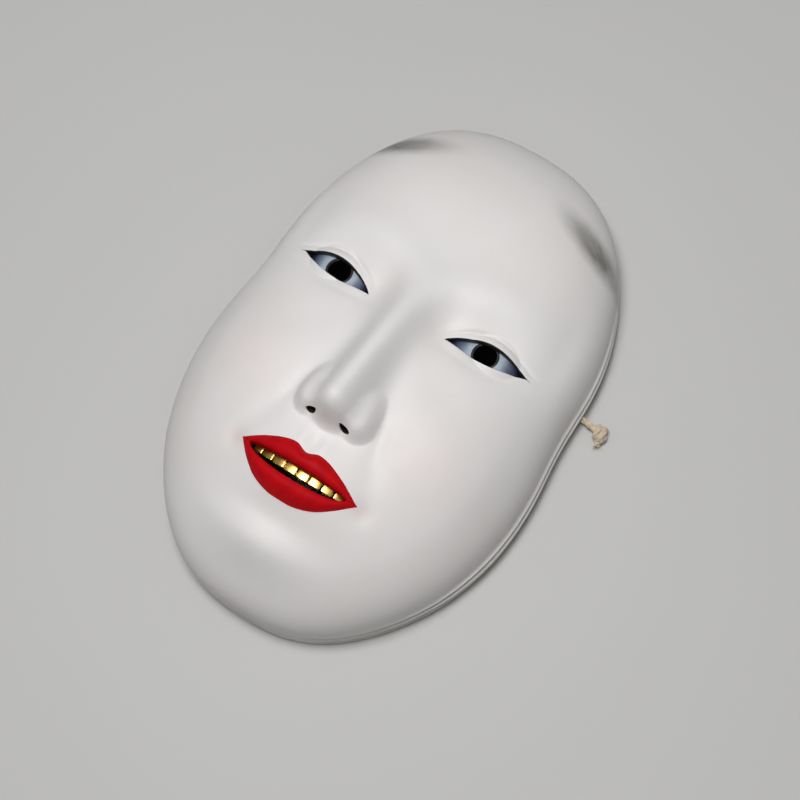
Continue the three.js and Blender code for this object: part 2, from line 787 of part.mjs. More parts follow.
// Stopper knot: overlapping lobes around the cord's end, as thick as share says, with the short cut tail.
function stopperKnot(centre, outward, share) {
  const [width, length, height] = KNOT_SIZE;
  const lobes = [
    [0, 0, 0, 1],
    [0.3 * outward, 1.2, 0.3, 0.88],
    [-0.3 * outward, -1.1, -0.2, 0.88],
  ];
  const solids = lobes.map(([x, y, z, size]) => {
    const lobe = new THREE.SphereGeometry(1, 16, 10);
    lobe.scale(width * share * size, length * size, height * size);
    lobe.translate(centre[0] + x * share, centre[1] + y, centre[2] + z);
    return toSolid(lobe);
  });
  const tailFrom = [centre[0] + 0.5 * outward, centre[1] - 1.5, centre[2] - 0.8];
  const tailTo = [centre[0] + 0.9 * outward, centre[1] - TAIL_LENGTH, CORD_DIAMETER / 2 + 0.2];
  const tail = toSolid(cylinderBetween(tailFrom, tailTo, CORD_DIAMETER / 2 - 0.1, 10));
  return toGeometry(solids[0].add(solids[1]).add(solids[2]).add(tail));
}

// ---------------------------------------------------------------- assembly

const group = new THREE.Group();

function addPiece(name, geometry, color, roughness, metalness = 0) {
  const material = new THREE.MeshStandardMaterial({ color, roughness, metalness });
  const mesh = new THREE.Mesh(geometry, material);
  mesh.name = name;
  group.add(mesh);
}

addPiece("face_shell", faceShell(), WHITE, 0.5);
addPiece("rim_band", rimBand(), WHITE, 0.55);
addPiece("eye_plate_right", eyePlate(1), PEARL, 0.3);
addPiece("eye_plate_left", eyePlate(-1), PEARL, 0.3);
addPiece("tooth_strip", toothStrip(), DARK, 0.6);
TOOTH_CENTRES.forEach((_, k) => {
  addPiece(`upper_tooth_right_${k + 1}`, tooth(k, 1), GOLD, 0.25, 1);
  addPiece(`upper_tooth_left_${k + 1}`, tooth(k, -1), GOLD, 0.25, 1);
});
addPiece("head_cord", headCord(), BEIGE, 0.9);
addPiece("cord_knot_right", stopperKnot(KNOT_RIGHT, 1, 1), BEIGE, 0.9);
addPiece("cord_knot_left", stopperKnot(KNOT_LEFT, -1, 0.75), BEIGE, 0.9);

export default group;
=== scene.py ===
import math
import random

import bmesh
import bpy
import numpy as np
from mathutils import Matrix, Vector
from mathutils.geometry import delaunay_2d_cdt
from mathutils.kdtree import KDTree


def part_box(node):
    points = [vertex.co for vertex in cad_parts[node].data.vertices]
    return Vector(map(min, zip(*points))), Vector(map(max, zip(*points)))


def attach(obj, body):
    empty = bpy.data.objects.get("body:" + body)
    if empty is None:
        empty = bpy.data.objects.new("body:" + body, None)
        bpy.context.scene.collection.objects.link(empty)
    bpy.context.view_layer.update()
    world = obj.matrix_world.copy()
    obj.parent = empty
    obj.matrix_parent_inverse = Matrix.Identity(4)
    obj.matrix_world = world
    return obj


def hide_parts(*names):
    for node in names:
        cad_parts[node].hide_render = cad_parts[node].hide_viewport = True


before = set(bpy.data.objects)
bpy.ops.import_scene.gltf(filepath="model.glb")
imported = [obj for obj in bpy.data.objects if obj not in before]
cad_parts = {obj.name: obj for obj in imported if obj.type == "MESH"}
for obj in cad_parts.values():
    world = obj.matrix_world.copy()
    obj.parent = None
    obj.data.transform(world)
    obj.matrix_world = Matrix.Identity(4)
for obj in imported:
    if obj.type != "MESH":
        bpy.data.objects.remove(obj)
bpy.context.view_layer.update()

MM = 0.001
rng = random.Random(7)
SIDES = ((1, "right"), (-1, "left"))

# ---- sizes, in millimetres, worked out from the frame where it gives them

SHELL_LOW, SHELL_HIGH = (np.array(corner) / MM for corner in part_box("face_shell"))
SHELL_BASE = SHELL_LOW[2]
SHELL_WALL = 4.6
SHELL_LIP = 1.4
# The rim's mouldings die away towards the crown and the chin, to this share of their reach.
MOULDING_LEFT = 0.2
HALF_HEIGHT = (SHELL_HIGH[1] - SHELL_LOW[1]) / 2 - SHELL_LIP * MOULDING_LEFT
WIDE_TO_HIGH = (68, 106)
HALF_WIDTH = HALF_HEIGHT * WIDE_TO_HIGH[0] / WIDE_TO_HIGH[1]
OUTLINE_POWER = 2.45
WALL_RISE = 4.2
WALL_TOP = SHELL_BASE + WALL_RISE
CROWN = 37.0
CROWN_POWER = 3.0
FIT_GAP = 0.3
RABBET = 2.0
TONGUE_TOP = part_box("rim_band")[1][2] / MM
BAND_TOP = SHELL_BASE - FIT_GAP
BAND_FLARE = 0.8
BEAD_REACH = 2.2
BEAD_DROP = 2.3
FOOT_REACH = 1.5

EYE_INNER = (16.4, 12.6)
EYE_OUTER = (48.6, 17.2)
EYEBALL = (31.6, 15.2)
EYEBALL_RADIUS = 19.0
EYEBALL_RISE = 2.4
LID_THICKNESS = 2.0
EYE_PLATE_THICKNESS = 1.8
EYE_PLATE_MARGIN = 2.2
EYE_PLATE_GAP = 0.55
PUPIL = (31.8, 15.9)
PUPIL_RADIUS = 4.3
IRIS_RADIUS = 5.25

MOUTH_Y = -58.4
LIPS_HALF = 24.5
PARTING_HALF = 20.5
TEETH_SET_BACK = 3.1
TEETH_CURVE = 0.0105
TOOTH_THICKNESS = 1.5
TOOTH_TOP = 6.4
TOOTH_BOTTOM = -1.1
TOOTH_CENTRES = (2.55, 7.6, 12.5, 17.0)
TOOTH_WIDTHS = (4.7, 4.7, 4.4, 3.9)
TOOTH_GAP = 0.02
TOOTH_SINK = 0.1
STRIP_THICKNESS = 1.6
STRIP_HALF = 21.4
STRIP_GAP = 0.6
STRIP_INSET = 1.2
POCKET_HALF = 22.0
POCKET_DROP = 5.0

PHILTRUM_Y = -46.4

CORD_DIAMETER = 2.6
CORD_BORE_RADIUS = 1.8
CORD_BORE_Y = 26.4
CORD_BORE_Z = 4.2
KNOT_RIGHT = (77.0, 25.2, 3.5)
KNOT_LEFT = (-69.65, 26.4, 3.7)
CORD_ROUTE = (
    (73, 25.7, 3.5), (69.8, 26.2, 3.9), (66.2, 26.4, 4.2), (61.6, 26.6, 4.2), (56.6, 27.6, 3.1),
    (51.6, 30.6, 1.8), (45, 39, 1.5), (35, 52, 1.5), (21, 62, 1.5), (6, 61, 1.5), (-3, 48, 1.5),
    (-4, 30, 1.5), (-1, 10, 1.5), (-2, -12, 1.5), (-8, -36, 1.5), (-21, -52, 1.5), (-37, -53, 1.5),
    (-46, -38, 1.5), (-48, -18, 1.5), (-50, 4, 1.5), (-53, 20, 2.2), (-57.5, 25.7, 3.6),
    (-62, 26.4, 4.2), (-67.3, 26.4, 4.2),
)

# ---- camera and lights

CAMERA_DISTANCE = 0.661
CAMERA_TO_CHIN = math.radians(14)
CAMERA_TO_RIGHT = math.radians(13)
CAMERA_ROLL = math.radians(33)
CAMERA_TARGET = Vector((0.0101, -0.0095, 0.0262))
CAMERA_LENS = 80


def link(name, data):
    thing = bpy.data.objects.new(name, data)
    bpy.context.scene.collection.objects.link(thing)
    return thing


def make_camera():
    back = Vector((math.tan(CAMERA_TO_RIGHT), -math.tan(CAMERA_TO_CHIN), 1)).normalized()
    up = Vector((-math.sin(CAMERA_ROLL), math.cos(CAMERA_ROLL), 0))
    right = up.cross(back).normalized()
    up = back.cross(right)
    data = bpy.data.cameras.new("camera")
    data.lens = CAMERA_LENS
    camera = link("camera", data)
    turn = Matrix((right, up, back)).transposed().to_4x4()
    camera.matrix_world = Matrix.Translation(CAMERA_TARGET + back * CAMERA_DISTANCE) @ turn
    bpy.context.scene.camera = camera
    return right, up, back


def area_light(name, place, size, power):
    data = bpy.data.lights.new(name, "AREA")
    data.shape = "DISK"
    data.size = size
    data.energy = power
    light = link(name, data)
    light.location = place
    light.rotation_mode = "QUATERNION"
    light.rotation_quaternion = (LIT_POINT - place).to_track_quat("-Z", "Y")


RIGHT, UP, BACK = make_camera()
LIT_POINT = Vector((0, 0, 0.03))
area_light("key", BACK * 0.96 - RIGHT * 0.12 + UP * 0.30, size=0.36, power=7.1)
area_light("fill", BACK * 0.9 + RIGHT * 0.8 - UP * 0.1, size=1.2, power=0.7)

sky = bpy.data.lights.new("sky", "SUN")
sky.energy = 0.32
sky.angle = math.radians(100)
link("sky", sky)

world = bpy.data.worlds.new("studio")
bpy.context.scene.world = world
world.use_nodes = True
background = world.node_tree.nodes["Background"].inputs
background["Color"].default_value = (0.9, 0.93, 1.0, 1)
background["Strength"].default_value = 0.06
bpy.context.scene.view_settings.view_transform = "Standard"

# ---- shape functions


def bump(t, centre, spread):
    return np.exp(-(((t - centre) / spread) ** 2))


def ramp(start, end, t):
    k = np.clip((t - start) / (end - start), 0, 1)
    return k * k * (3 - 2 * k)


def spot(x, y, cx, cy, sx, sy, turn=0.0):
    c, s = math.cos(math.radians(turn)), math.sin(math.radians(turn))
    u = c * (x - cx) + s * (y - cy)
    v = c * (y - cy) - s * (x - cx)
    return np.exp(-((u / sx) ** 2) - (v / sy) ** 2)


def forms(x, y, start, table):
    """Adds a table of soft forms to start: height, place, spread and tilt, mirrored off the middle."""
    for height, *form in table:
        both = spot(x, y, *form) + spot(-x, y, *form) if form[0] else spot(x, y, *form)
        start = start + height * both
    return start


def along(points, t):
    """Smooth curve through (place, value) pairs in rising order of place, level at both ends."""
    place, value = np.array(points, float).T
    slope = np.zeros(len(place))
    slope[1:-1] = (value[2:] - value[:-2]) / (place[2:] - place[:-2])
    t = np.clip(t, place[0], place[-1])
    i = np.clip(np.searchsorted(place, t) - 1, 0, len(place) - 2)
    span = place[i + 1] - place[i]
    s = (t - place[i]) / span
    return (
        (2 * s**3 - 3 * s**2 + 1) * value[i]
        + (s**3 - 2 * s**2 + s) * span * slope[i]
        + (3 * s**2 - 2 * s**3) * value[i + 1]
        + (s**3 - s**2) * span * slope[i + 1]
    )


NOSE_RIDGE = (
    (-41.4, 0), (-40.0, 1.2), (-38.6, 4.4), (-37.0, 9.6), (-35.2, 13.6), (-32.6, 16.0), (-29, 16.6),
    (-22, 15.0), (-12, 12.0), (2, 8.0), (16, 4.2), (28, 1.6), (40, 0),
)
NOSE_WIDTH = (
    (-42.5, 7.2), (-37, 8.6), (-31, 9.6), (-24, 8.6), (-12, 7.6), (0, 7.2), (16, 7), (28, 9.5), (40, 12),
)
NOSE_WING = ((9.9, -32.4), (5.4, 6.0, 12.0), 1.2, 5.5)
# Middle, size and tilt of a nostril on the front and on the inside.
NOSTRILS = (((7.1, -37.5), (2.3, 0.95), -10), ((6.2, -32.8), (2.3, 1.9), 0))
UPPER_LIP = ((0, 7.4), (4.5, 8.8), (9, 8.2), (16, 5.2), (21.5, 2.1), (24.5, 0.7))
LOWER_LIP = ((0, 11.2), (6, 10.9), (13, 8.8), (19, 5.0), (22.6, 2.2), (24.5, 0.9))


def outline_width(y):
    """The outline's width at a height against the plain curve's: full at the jaw, narrow at the chin."""
    return 1 + 0.03 * bump(y, -38, 36) - 0.026 * bump(y, 12, 20) - 0.05 * ramp(-60, -110, y)


def outline_place(u, v, grow=0.0):
    """Plan points at shares of the outline's half width and half height, moved outwards by grow."""
    y = v * (HALF_HEIGHT + grow)
    return np.column_stack([u * (HALF_WIDTH + grow) * outline_width(y), y])


def reach(x, y, grow=0.0):
    """0 in the middle of the plan and 1 on its outline moved outwards by grow."""
    u = np.abs(x / ((HALF_WIDTH + grow) * outline_width(y)))
    v = np.abs(y / (HALF_HEIGHT + grow))
    return (u**OUTLINE_POWER + v**OUTLINE_POWER) ** (1 / OUTLINE_POWER)


# Forehead, brows, temples, eye sockets, their inner corners, cheeks, mouth and chin.
SOFT_FORMS = (
    (1.6, 20, 68, 24, 24),
    (1.3, 28, 37, 19, 9, 6),
    (-2.0, 58, 34, 11, 20),
    (-4.6, 30, 19, 17, 11),
    (-3.2, 14.5, 15, 7, 10),
    (3.6, 39, -26, 21, 25, 18),
    (4.2, 0, -57, 25, 16),
    (4.2, 0, -89, 19, 12),
)
# Nostrils, wing folds, under the eyes, chin fold, mouth corners, cheek folds, the philtrum and its edges.
FINE_FORMS = (
    (-1.2, 7.1, -37.4, 2.4, 1.3, -10),
    (-0.8, 18.6, -32, 2.6, 6.5, 12),
    (-0.9, 26, -4, 14, 9, -25),
    (-2.4, 0, -75.5, 19, 6.5),
    (-1.1, 26.6, -57.6, 4.2, 4.4),
    (-0.9, 22.5, -43, 5.0, 12, 24),
    (-1.0, 0, -46, 2.8, 4.4),
    (0.4, 4.6, -46, 2.2, 4.4),
)


def soft_forms(x, y):
    """Broad swells and hollows, the same on the front and the inside."""
    middle = 4.5 * bump(x, 0, 27) * ramp(-104, -70, y) * (1 - ramp(-5, 50, y))
    return forms(x, y, middle, SOFT_FORMS)


def dome(x, y, centre, size, level, height):
    """Rounded boss standing on a level, falling away steeply outside its size: across, down and up."""
    v = (y - centre[1]) / np.where(y < centre[1], size[1], size[2])
    d = np.hypot((x - centre[0]) / size[0], v)
    return level + height * (1 - d**3)


def join(a, b, blend):
    """The higher of two forms, with a soft fillet where they meet."""
    return np.maximum(a, b) + np.maximum(blend - np.abs(a - b), 0) ** 2 / (4 * blend)


def nose(x, y):
    a = np.abs(x)
    raised = 3.2 * (1 - np.exp(-((a / 11) ** 2)))
    ridge = along(NOSE_RIDGE, y - raised) * np.exp(-((a / along(NOSE_WIDTH, y)) ** 2.3))
    ridge = ridge + 0.8 * spot(x, y, 0, -31.4, 6.0, 4.6)
    return join(ridge, dome(a, y, *NOSE_WING), 6.5)


def crown(r, height):
    return WALL_TOP + height * np.sqrt(np.maximum(1 - np.minimum(r, 1) ** CROWN_POWER, 0))


def front_without_eyes(x, y):
    r = reach(x, y)
    relief = soft_forms(x, y) + forms(x, y, nose(x, y), FINE_FORMS)
    return crown(r, CROWN) + relief * (1 - ramp(0.8, 0.97, r))


FACE_AT_EYE = float(front_without_eyes(np.array(EYEBALL[0]), np.array(EYEBALL[1])))
EYEBALL_Z = FACE_AT_EYE + EYEBALL_RISE - EYEBALL_RADIUS


def front_with_eyes(x, y):
    """The front with a soft swell over each eyeball."""
    base = front_without_eyes(x, y)
    d = np.hypot(np.abs(x) - EYEBALL[0], y - EYEBALL[1])
    blend = 1.6
    ball = EYEBALL_Z + np.sqrt(np.maximum(EYEBALL_RADIUS**2 - d**2, 0))
    ball = np.where(d > EYEBALL_RADIUS * 0.97, base - 50, ball)
    share = np.exp(-np.abs(ball - base) / blend)
    return np.maximum(ball, base) + blend * (np.log1p(share) - math.log(2) * share)


def across_eye(share):
    """Distance from the middle of the face, a share of the way from the eye's inner corner to its outer."""
    return EYE_INNER[0] + (EYE_OUTER[0] - EYE_INNER[0]) * share


def lid_share(a):
    """0 at the eye's inner corner and 1 at its outer one."""
    return (a - EYE_INNER[0]) / (EYE_OUTER[0] - EYE_INNER[0])


def lids(a):
    """Lower and upper edge of the eye opening at distance a from the middle of the face."""
    s = np.clip(lid_share(a), 0, 1)
    chord = EYE_INNER[1] + (EYE_OUTER[1] - EYE_INNER[1]) * s
    low = chord - 3.1 * np.sin(np.pi * s**1.2)
    high = chord + 4.9 * np.abs(np.sin(np.pi * s**0.84)) ** 0.95
    return low, high


def mouth(x):
    """The parting line, and the borders of the lips and of the parting."""
    a = np.minimum(np.abs(x), LIPS_HALF)
    line = MOUTH_Y + 1.6 * (a / LIPS_HALF) ** 2
    opened = np.sqrt(np.maximum(1 - np.minimum(a / PARTING_HALF, 1) ** 2.2, 0))
    corner = np.sqrt(1 - (a / LIPS_HALF) ** 14)
    top = line + along(UPPER_LIP, a) * corner
    bottom = line - along(LOWER_LIP, a) * corner
    return line, top, line + 2.0 * opened, line - 3.7 * opened, bottom


def behind_lids(x, y):
    return front_with_eyes(x, y) - LID_THICKNESS


def lid_forms(x, y):
    """The crease over the upper lid and the faint one under the lower lid."""
    a = np.abs(x)
    low, high = lids(a)
    s = lid_share(a)
    inside = ramp(-0.08, 0.12, s) * (1 - ramp(0.98, 1.16, s))
    arch = np.sin(np.pi * np.clip(s, 0, 1))
    return inside * (-0.7 * bump(y, high + 2.6 + 0.9 * arch, 0.85) - 0.25 * bump(y, low - 3.4, 1.6))


def lip_forms(x, y):
    """The swell of both lips, full along a crest and lower at the parting."""
    a = np.abs(x)
    _, top, part_top, part_bottom, bottom = mouth(x)
    full = np.maximum(1 - (a / LIPS_HALF) ** 2.4, 0) ** 0.6
    up = np.clip((top - y) / np.maximum(top - part_top, 1e-3), 0, 1)
    down = np.clip((y - bottom) / np.maximum(part_bottom - bottom, 1e-3), 0, 1)

    def swell(v, crest):
        rise = 1 - np.maximum(1 - v / crest, 0) ** 2.2
        return rise - 0.5 * np.maximum((v - crest) / (1 - crest), 0) ** 2

    upper = 2.2 * full * swell(up, 0.66)
    lower = 2.8 * full * swell(down, 0.60)
    return np.where(y >= (part_top + part_bottom) / 2, upper, lower)


def front(x, y):
    return front_with_eyes(x, y) + lid_forms(x, y) + lip_forms(x, y)


def hollow(x, y):
    """The inside of the shell, with a shallow trough behind the nose."""
    r = reach(x, y, -SHELL_WALL)
    trough = 0.66 * along(NOSE_RIDGE, y - 4) * bump(x, 0, 9)
    return crown(r, CROWN - SHELL_WALL) + (soft_forms(x, y) + trough) * (1 - ramp(0.8, 0.97, r))


TEETH_Z = float(front(np.array(0.0), np.array(PHILTRUM_Y))) - TEETH_SET_BACK


def teeth_front(x):
    return TEETH_Z - TEETH_CURVE * x * x


def before_teeth(x, y):
    return teeth_front(x) + FIT_GAP


# ---- mesh tools


class Builder:
    """Collects points and faces, with a material number for each face, into one mesh object."""

    def __init__(self):
        self.points = []
        self.faces = []
        self.slots = []
        self.count = 0

    def add(self, points):
        points = np.asarray(points, float).reshape(-1, 3)
        start = self.count
        self.points.append(points)
        self.count += len(points)
        return np.arange(start, start + len(points))

    def face(self, corners, slot=0):
        self.faces.append(tuple(int(c) for c in corners))
        self.slots.append(int(slot))

    def bridge(self, rows, slots=0, closed=True):
        """Quads between each row and the next, slots being one material number or one for each column."""
        n = len(rows[0])
        slots = np.broadcast_to(slots, n)
        for lower, upper in zip(rows, rows[1:]):
            for i in range(n if closed else n - 1):
                j = (i + 1) % n
                self.face((lower[i], lower[j], upper[j], upper[i]), slots[i])

    def finish(self, name, materials, sharp):
        """The mesh object, small gaps closed, with edges sharper than so many degrees left hard."""
        mesh = bpy.data.meshes.new(name)
        mesh.from_pydata((np.concatenate(self.points) * MM).tolist(), [], self.faces)
        for material in materials:
            mesh.materials.append(material)
        mesh.polygons.foreach_set("material_index", np.array(self.slots, dtype=np.int32))
        mesh.shade_smooth()
        bm = bmesh.new()
        bm.from_mesh(mesh)
        bmesh.ops.remove_doubles(bm, verts=bm.verts, dist=1e-7)
        gaps = [edge for edge in bm.edges if edge.is_boundary]
        for closed in bmesh.ops.holes_fill(bm, edges=gaps, sides=8)["faces"]:
            closed.smooth = True
            closed.material_index = max(face.material_index for face in closed.edges[0].link_faces)
        bmesh.ops.recalc_face_normals(bm, faces=bm.faces)
        bm.to_mesh(mesh)
        bm.free()
        mesh.set_sharp_from_angle(angle=math.radians(sharp))
        mesh.update()
        return link(name, mesh)


def outline_ring(steps):
    """Points evenly spaced round the outline."""
    turn = 2 * np.pi * np.arange(4000) / 4000
    u, v = (np.sign(way) * np.abs(way) ** (2 / OUTLINE_POWER) for way in (np.cos(turn), np.sin(turn)))
    dense = outline_place(u, v)
    run = np.concatenate([[0], np.cumsum(np.linalg.norm(np.roll(dense, -1, 0) - dense, axis=1))])
    places = run[-1] * np.arange(steps) / steps
    closed = np.vstack([dense, dense[:1]])
    return np.column_stack([np.interp(places, run, closed[:, k]) for k in (0, 1)])


def inside_polygon(points, polygon):
    """Whether each point lies inside the closed polygon."""
    x, y = points[:, 0], points[:, 1]
    result = np.zeros(len(points), bool)
    ax, ay = polygon[-1]
    for bx, by in polygon:
        if ay != by:
            crosses = (ay > y) != (by > y)
            result ^= crosses & (x < (bx - ax) * (y - ay) / (by - ay) + ax)
        ax, ay = bx, by
    return result


def hex_points(half_x, half_y, step):
    """A triangular grid of points over a rectangle."""
    rows = np.arange(-half_y, half_y, step * math.sqrt(3) / 2)
    columns = np.arange(-half_x, half_x, step)
    x = columns[None, :] + (np.arange(len(rows)) % 2)[:, None] * step / 2
    return np.column_stack([x.ravel(), np.repeat(rows, len(columns))])


# The flat sheet the shell's surfaces are meshed on is the plan, opened out near the rim, where the wall
# turns down.
OPEN_FROM = 0.84
OPEN_TO = 1.22


def sheet_to_plan(points, grow):
    u = points[:, 0] / (HALF_WIDTH + grow)
    v = points[:, 1] / (HALF_HEIGHT + grow)
    s = (np.abs(u) ** OUTLINE_POWER + np.abs(v) ** OUTLINE_POWER) ** (1 / OUTLINE_POWER)
    t = np.clip((s - OPEN_FROM) / (OPEN_TO - OPEN_FROM), 0, 1)
    r = np.where(s <= OPEN_FROM, s, OPEN_FROM + (1 - OPEN_FROM) * np.sin(np.pi / 2 * t))
    k = r / np.maximum(s, 1e-9)
    return outline_place(u * k, v * k, grow)


def plan_to_sheet(points):
    """The sheet's points for plan points in its middle. On the rim they still have to move out by OPEN_TO."""
    return np.column_stack([points[:, 0] / outline_width(points[:, 1]), points[:, 1]])


def mesh_sheet(builder, height, grow, rim, loops, lines, zones, slot_of):
    """Triangulates the surface inside the rim with holes at the loops and edges along the lines.

    Each zone is a mesh size and the ellipses it holds in, later ones over earlier ones.
    Returns the point numbers of the rim and of each loop, in their own order.
    """
    edge_sets = [plan_to_sheet(rim) * OPEN_TO] + [plan_to_sheet(loop) for loop in loops]
    edges, fixed, border = [], [], []
    start = 0
    for k, points in enumerate(edge_sets + [plan_to_sheet(line) for line in lines]):
        n = len(points)
        last = n if k < len(edge_sets) else n - 1
        edges += [(start + i, start + (i + 1) % n) for i in range(last)]
        after = np.roll(points, -1, 0)[:last]
        border += [points[:last] * (1 - f) + after * f for f in (0, 0.25, 0.5, 0.75)] + [points]
        fixed.append(points)
        start += n
    border = np.concatenate(border)
    tree = KDTree(len(border))
    for i, p in enumerate(border):
        tree.insert((*p, 0), i)
    tree.balance()

    def level_of(points):
        result = np.zeros(len(points), int)
        for level, (_, ellipses) in enumerate(zones):
            for cx, cy, rx, ry in ellipses:
                u = (np.abs(points[:, 0]) - cx) / rx if cx else points[:, 0] / rx
                result[u**2 + ((points[:, 1] - cy) / ry) ** 2 < 1] = level
        return result

    def on_sheet(points):
        result = inside_polygon(points, edge_sets[0])
        for loop in edge_sets[1:]:
            result &= ~inside_polygon(points, loop)
        return result

    filling = []
    for level, (step, _) in enumerate(zones):
        points = hex_points(OPEN_TO * (HALF_WIDTH + grow), OPEN_TO * (HALF_HEIGHT + grow), step)
        points = points[level_of(points) == level]
        points = points[on_sheet(points)]
        near = np.array([tree.find((*p, 0))[2] for p in points])
        filling.append(points[near > step * 0.55])
    vectors = [Vector(p) for p in np.concatenate(fixed + filling)]
    verts, _, faces, origins, _, _ = delaunay_2d_cdt(vectors, edges, [], 0, 1e-6, True)
    flat = np.array([(v.x, v.y) for v in verts])
    plan = sheet_to_plan(flat, grow)
    numbers = builder.add(lift(plan, height))
    triangles = np.array([f for f in faces if len(f) == 3])
    middle = flat[triangles].mean(1)
    keep = on_sheet(middle)
    for triangle, slot in zip(triangles[keep], slot_of(sheet_to_plan(middle[keep], grow))):
        builder.face(numbers[triangle], slot)
    where = {one: numbers[new] for new, old in enumerate(origins) for one in old}
    order = iter(range(start))
    return [[where[next(order)] for _ in points] for points in edge_sets]


def side_of(points, side):
    """The right-hand loop, or its mirror image run in the same sense."""
    return points if side > 0 else (points * [-1, 1])[::-1]


def unit(v):
    """The vector, or each row of vectors, at length 1."""
    return v / np.linalg.norm(v, axis=-1, keepdims=True)


def grow_loop(loop, grow):
    after, before = np.roll(loop, -1, 0), np.roll(loop, 1, 0)
    tangent = unit(after - before)
    return loop + np.column_stack([tangent[:, 1], -tangent[:, 0]]) * grow


def eye_loop(grow=0.0, steps=44):
    s = 0.5 - 0.5 * np.cos(np.pi * np.arange(steps) / steps)
    a, b = across_eye(s), across_eye(1 - s)
    loop = np.concatenate([np.column_stack([a, lids(a)[0]]), np.column_stack([b, lids(b)[1]])])
    return grow_loop(loop, grow)


def mouth_loop(half, top_of, bottom_of, steps=44):
    x = -half * np.cos(np.pi * np.arange(steps + 1) / steps)
    return np.concatenate([np.column_stack([x, bottom_of(x)]), np.column_stack([x, top_of(x)])[::-1]])


def lift(loop, height):
    """The plan loop as points in space, at a height or on a height function."""
    z = height(loop[:, 0], loop[:, 1]) if callable(height) else np.full(len(loop), float(height))
    return np.column_stack([loop, z])


# ---- materials


class Paint:
    """A Principled material, its constant sockets first, with short calls for the nodes it uses."""

    def __init__(self, name, sockets):
        self.material = bpy.data.materials.new(name)
        self.material.use_nodes = True
        self.tree = self.material.node_tree
        self.shader = self.tree.nodes["Principled BSDF"]
        for socket, value in sockets.items():
            self.shader.inputs[socket].default_value = value
        self.place = self.tree.nodes.new("ShaderNodeTexCoord").outputs["Object"]

    def wire(self, source, target):
        """Sets the target socket to a number, a vector or a colour, or links another node's output to it."""
        if isinstance(source, (int, float)):
            target.default_value = source
        elif isinstance(source, tuple):
            target.default_value = source if len(source) == len(target.default_value) else (*source, 1)
        else:
            self.tree.links.new(source, target)

    def node(self, kind, wires, **settings):
        made = self.tree.nodes.new("ShaderNode" + kind)
        for name, value in settings.items():
            setattr(made, name, value)
        for socket, source in wires.items():
            self.wire(source, made.inputs[socket])
        return made

    def math(self, operation, a, b=0.0, clamp=False):
        return self.node("Math", {0: a, 1: b}, operation=operation, use_clamp=clamp).outputs[0]

    def plus(self, a, b):
        return self.math("ADD", a, b)

    def times(self, a, b):
        return self.math("MULTIPLY", a, b)

    def vector(self, operation, a, b=(0.0, 0.0, 0.0)):
        made = self.node("VectorMath", {0: a, 1: b}, operation=operation)
        return made.outputs["Value" if operation == "LENGTH" else "Vector"]

    def axes(self):
        return self.node("SeparateXYZ", {0: self.place}).outputs

    def mapped(self, move=(0, 0, 0), turn=(0, 0, 0), scale=(1, 1, 1)):
        wires = {"Vector": self.place, "Location": move, "Rotation": turn, "Scale": scale}
        return self.node("Mapping", wires, vector_type="TEXTURE").outputs[0]

    def noise(self, scale, detail=4.0, rough=0.5, source=None, warp=0.0):
        wires = {"Vector": source or self.place, "Scale": scale, "Detail": detail}
        return self.node("TexNoise", wires | {"Roughness": rough, "Distortion": warp}).outputs["Fac"]

    def cells(self, scale, source):
        return self.node("TexVoronoi", {"Vector": source, "Scale": scale}).outputs["Distance"]

    def spread(self, value, low, high, to_low=0.0, to_high=1.0):
        """Smooth step from to_low, where value is at low or under, to to_high, where it is past high."""
        wires = {"Value": value, "From Min": low, "From Max": high, "To Min": to_low, "To Max": to_high}
        return self.node("MapRange", wires, interpolation_type="SMOOTHSTEP").outputs["Result"]

    def mix(self, factor, a, b):
        return self.node("Mix", {0: factor, 6: a, 7: b}, data_type="RGBA").outputs[2]

    def relief(self, height, distance, strength):
        """Fine surface grain, distance in metres."""
        made = self.node("Bump", {"Height": height, "Distance": distance, "Strength": strength})
        self.wire(made.outputs[0], self.shader.inputs["Normal"])

    def cover(self, colour):
        self.wire(colour, self.shader.inputs["Base Color"])

    def roughen(self, rough):
        self.wire(rough, self.shader.inputs["Roughness"])

    def vary_roughness(self, noise, low, high):
        self.roughen(self.spread(noise, 0.3, 0.7, low, high))


def soft_patch(paint, side, middle, size, tilt, warp=0.0):
    """1 in the middle of an elliptical patch on the face, 0 outside, with an edge broken up by warp."""
    move = (side * middle[0] * MM, middle[1] * MM, 0)
    local = paint.mapped(move, (0, 0, math.radians(side * tilt)), (size[0] * MM, size[1] * MM, 10))
    away = paint.vector("LENGTH", paint.vector("MULTIPLY", local, (1.0, 1.0, 0.0)))
    if warp:
        away = paint.plus(away, paint.times(paint.math("SUBTRACT", paint.noise(260, 3), 0.5), warp))
    return paint.spread(away, 0.0, 1.0, 1.0, 0.0)


SKIN_WHITE = (0.80, 0.778, 0.768)
SKIN_WARM = (0.775, 0.745, 0.725)
SKIN_SPECK = (0.66, 0.62, 0.56)
# Patches on the right half, mirrored on the left: middle, size, tilt, strength and colour: cheek blush,
# mouth-corner blush, and painted shade over the upper lid.
BLUSH_AND_SHADE_PATCHES = (
    ((37, -30), (27, 24), 0, 0.20, (0.82, 0.62, 0.58)),
    ((27.0, -57.5), (5.5, 5.0), 0, 0.30, (0.72, 0.48, 0.45)),
    ((32, 22.5), (21, 8), 6, 0.10, (0.62, 0.54, 0.52)),
)
BROW_MIDDLE = (40, 77)
BROW_SIZE = (25, 8.2)
BROW_TILT = -20
BROW_INK = (0.09, 0.082, 0.068)
# How far from the middle of the face a brow smudge starts to darken, and where it is darkest, in metres.
BROW_FADE = (0.022, 0.054)


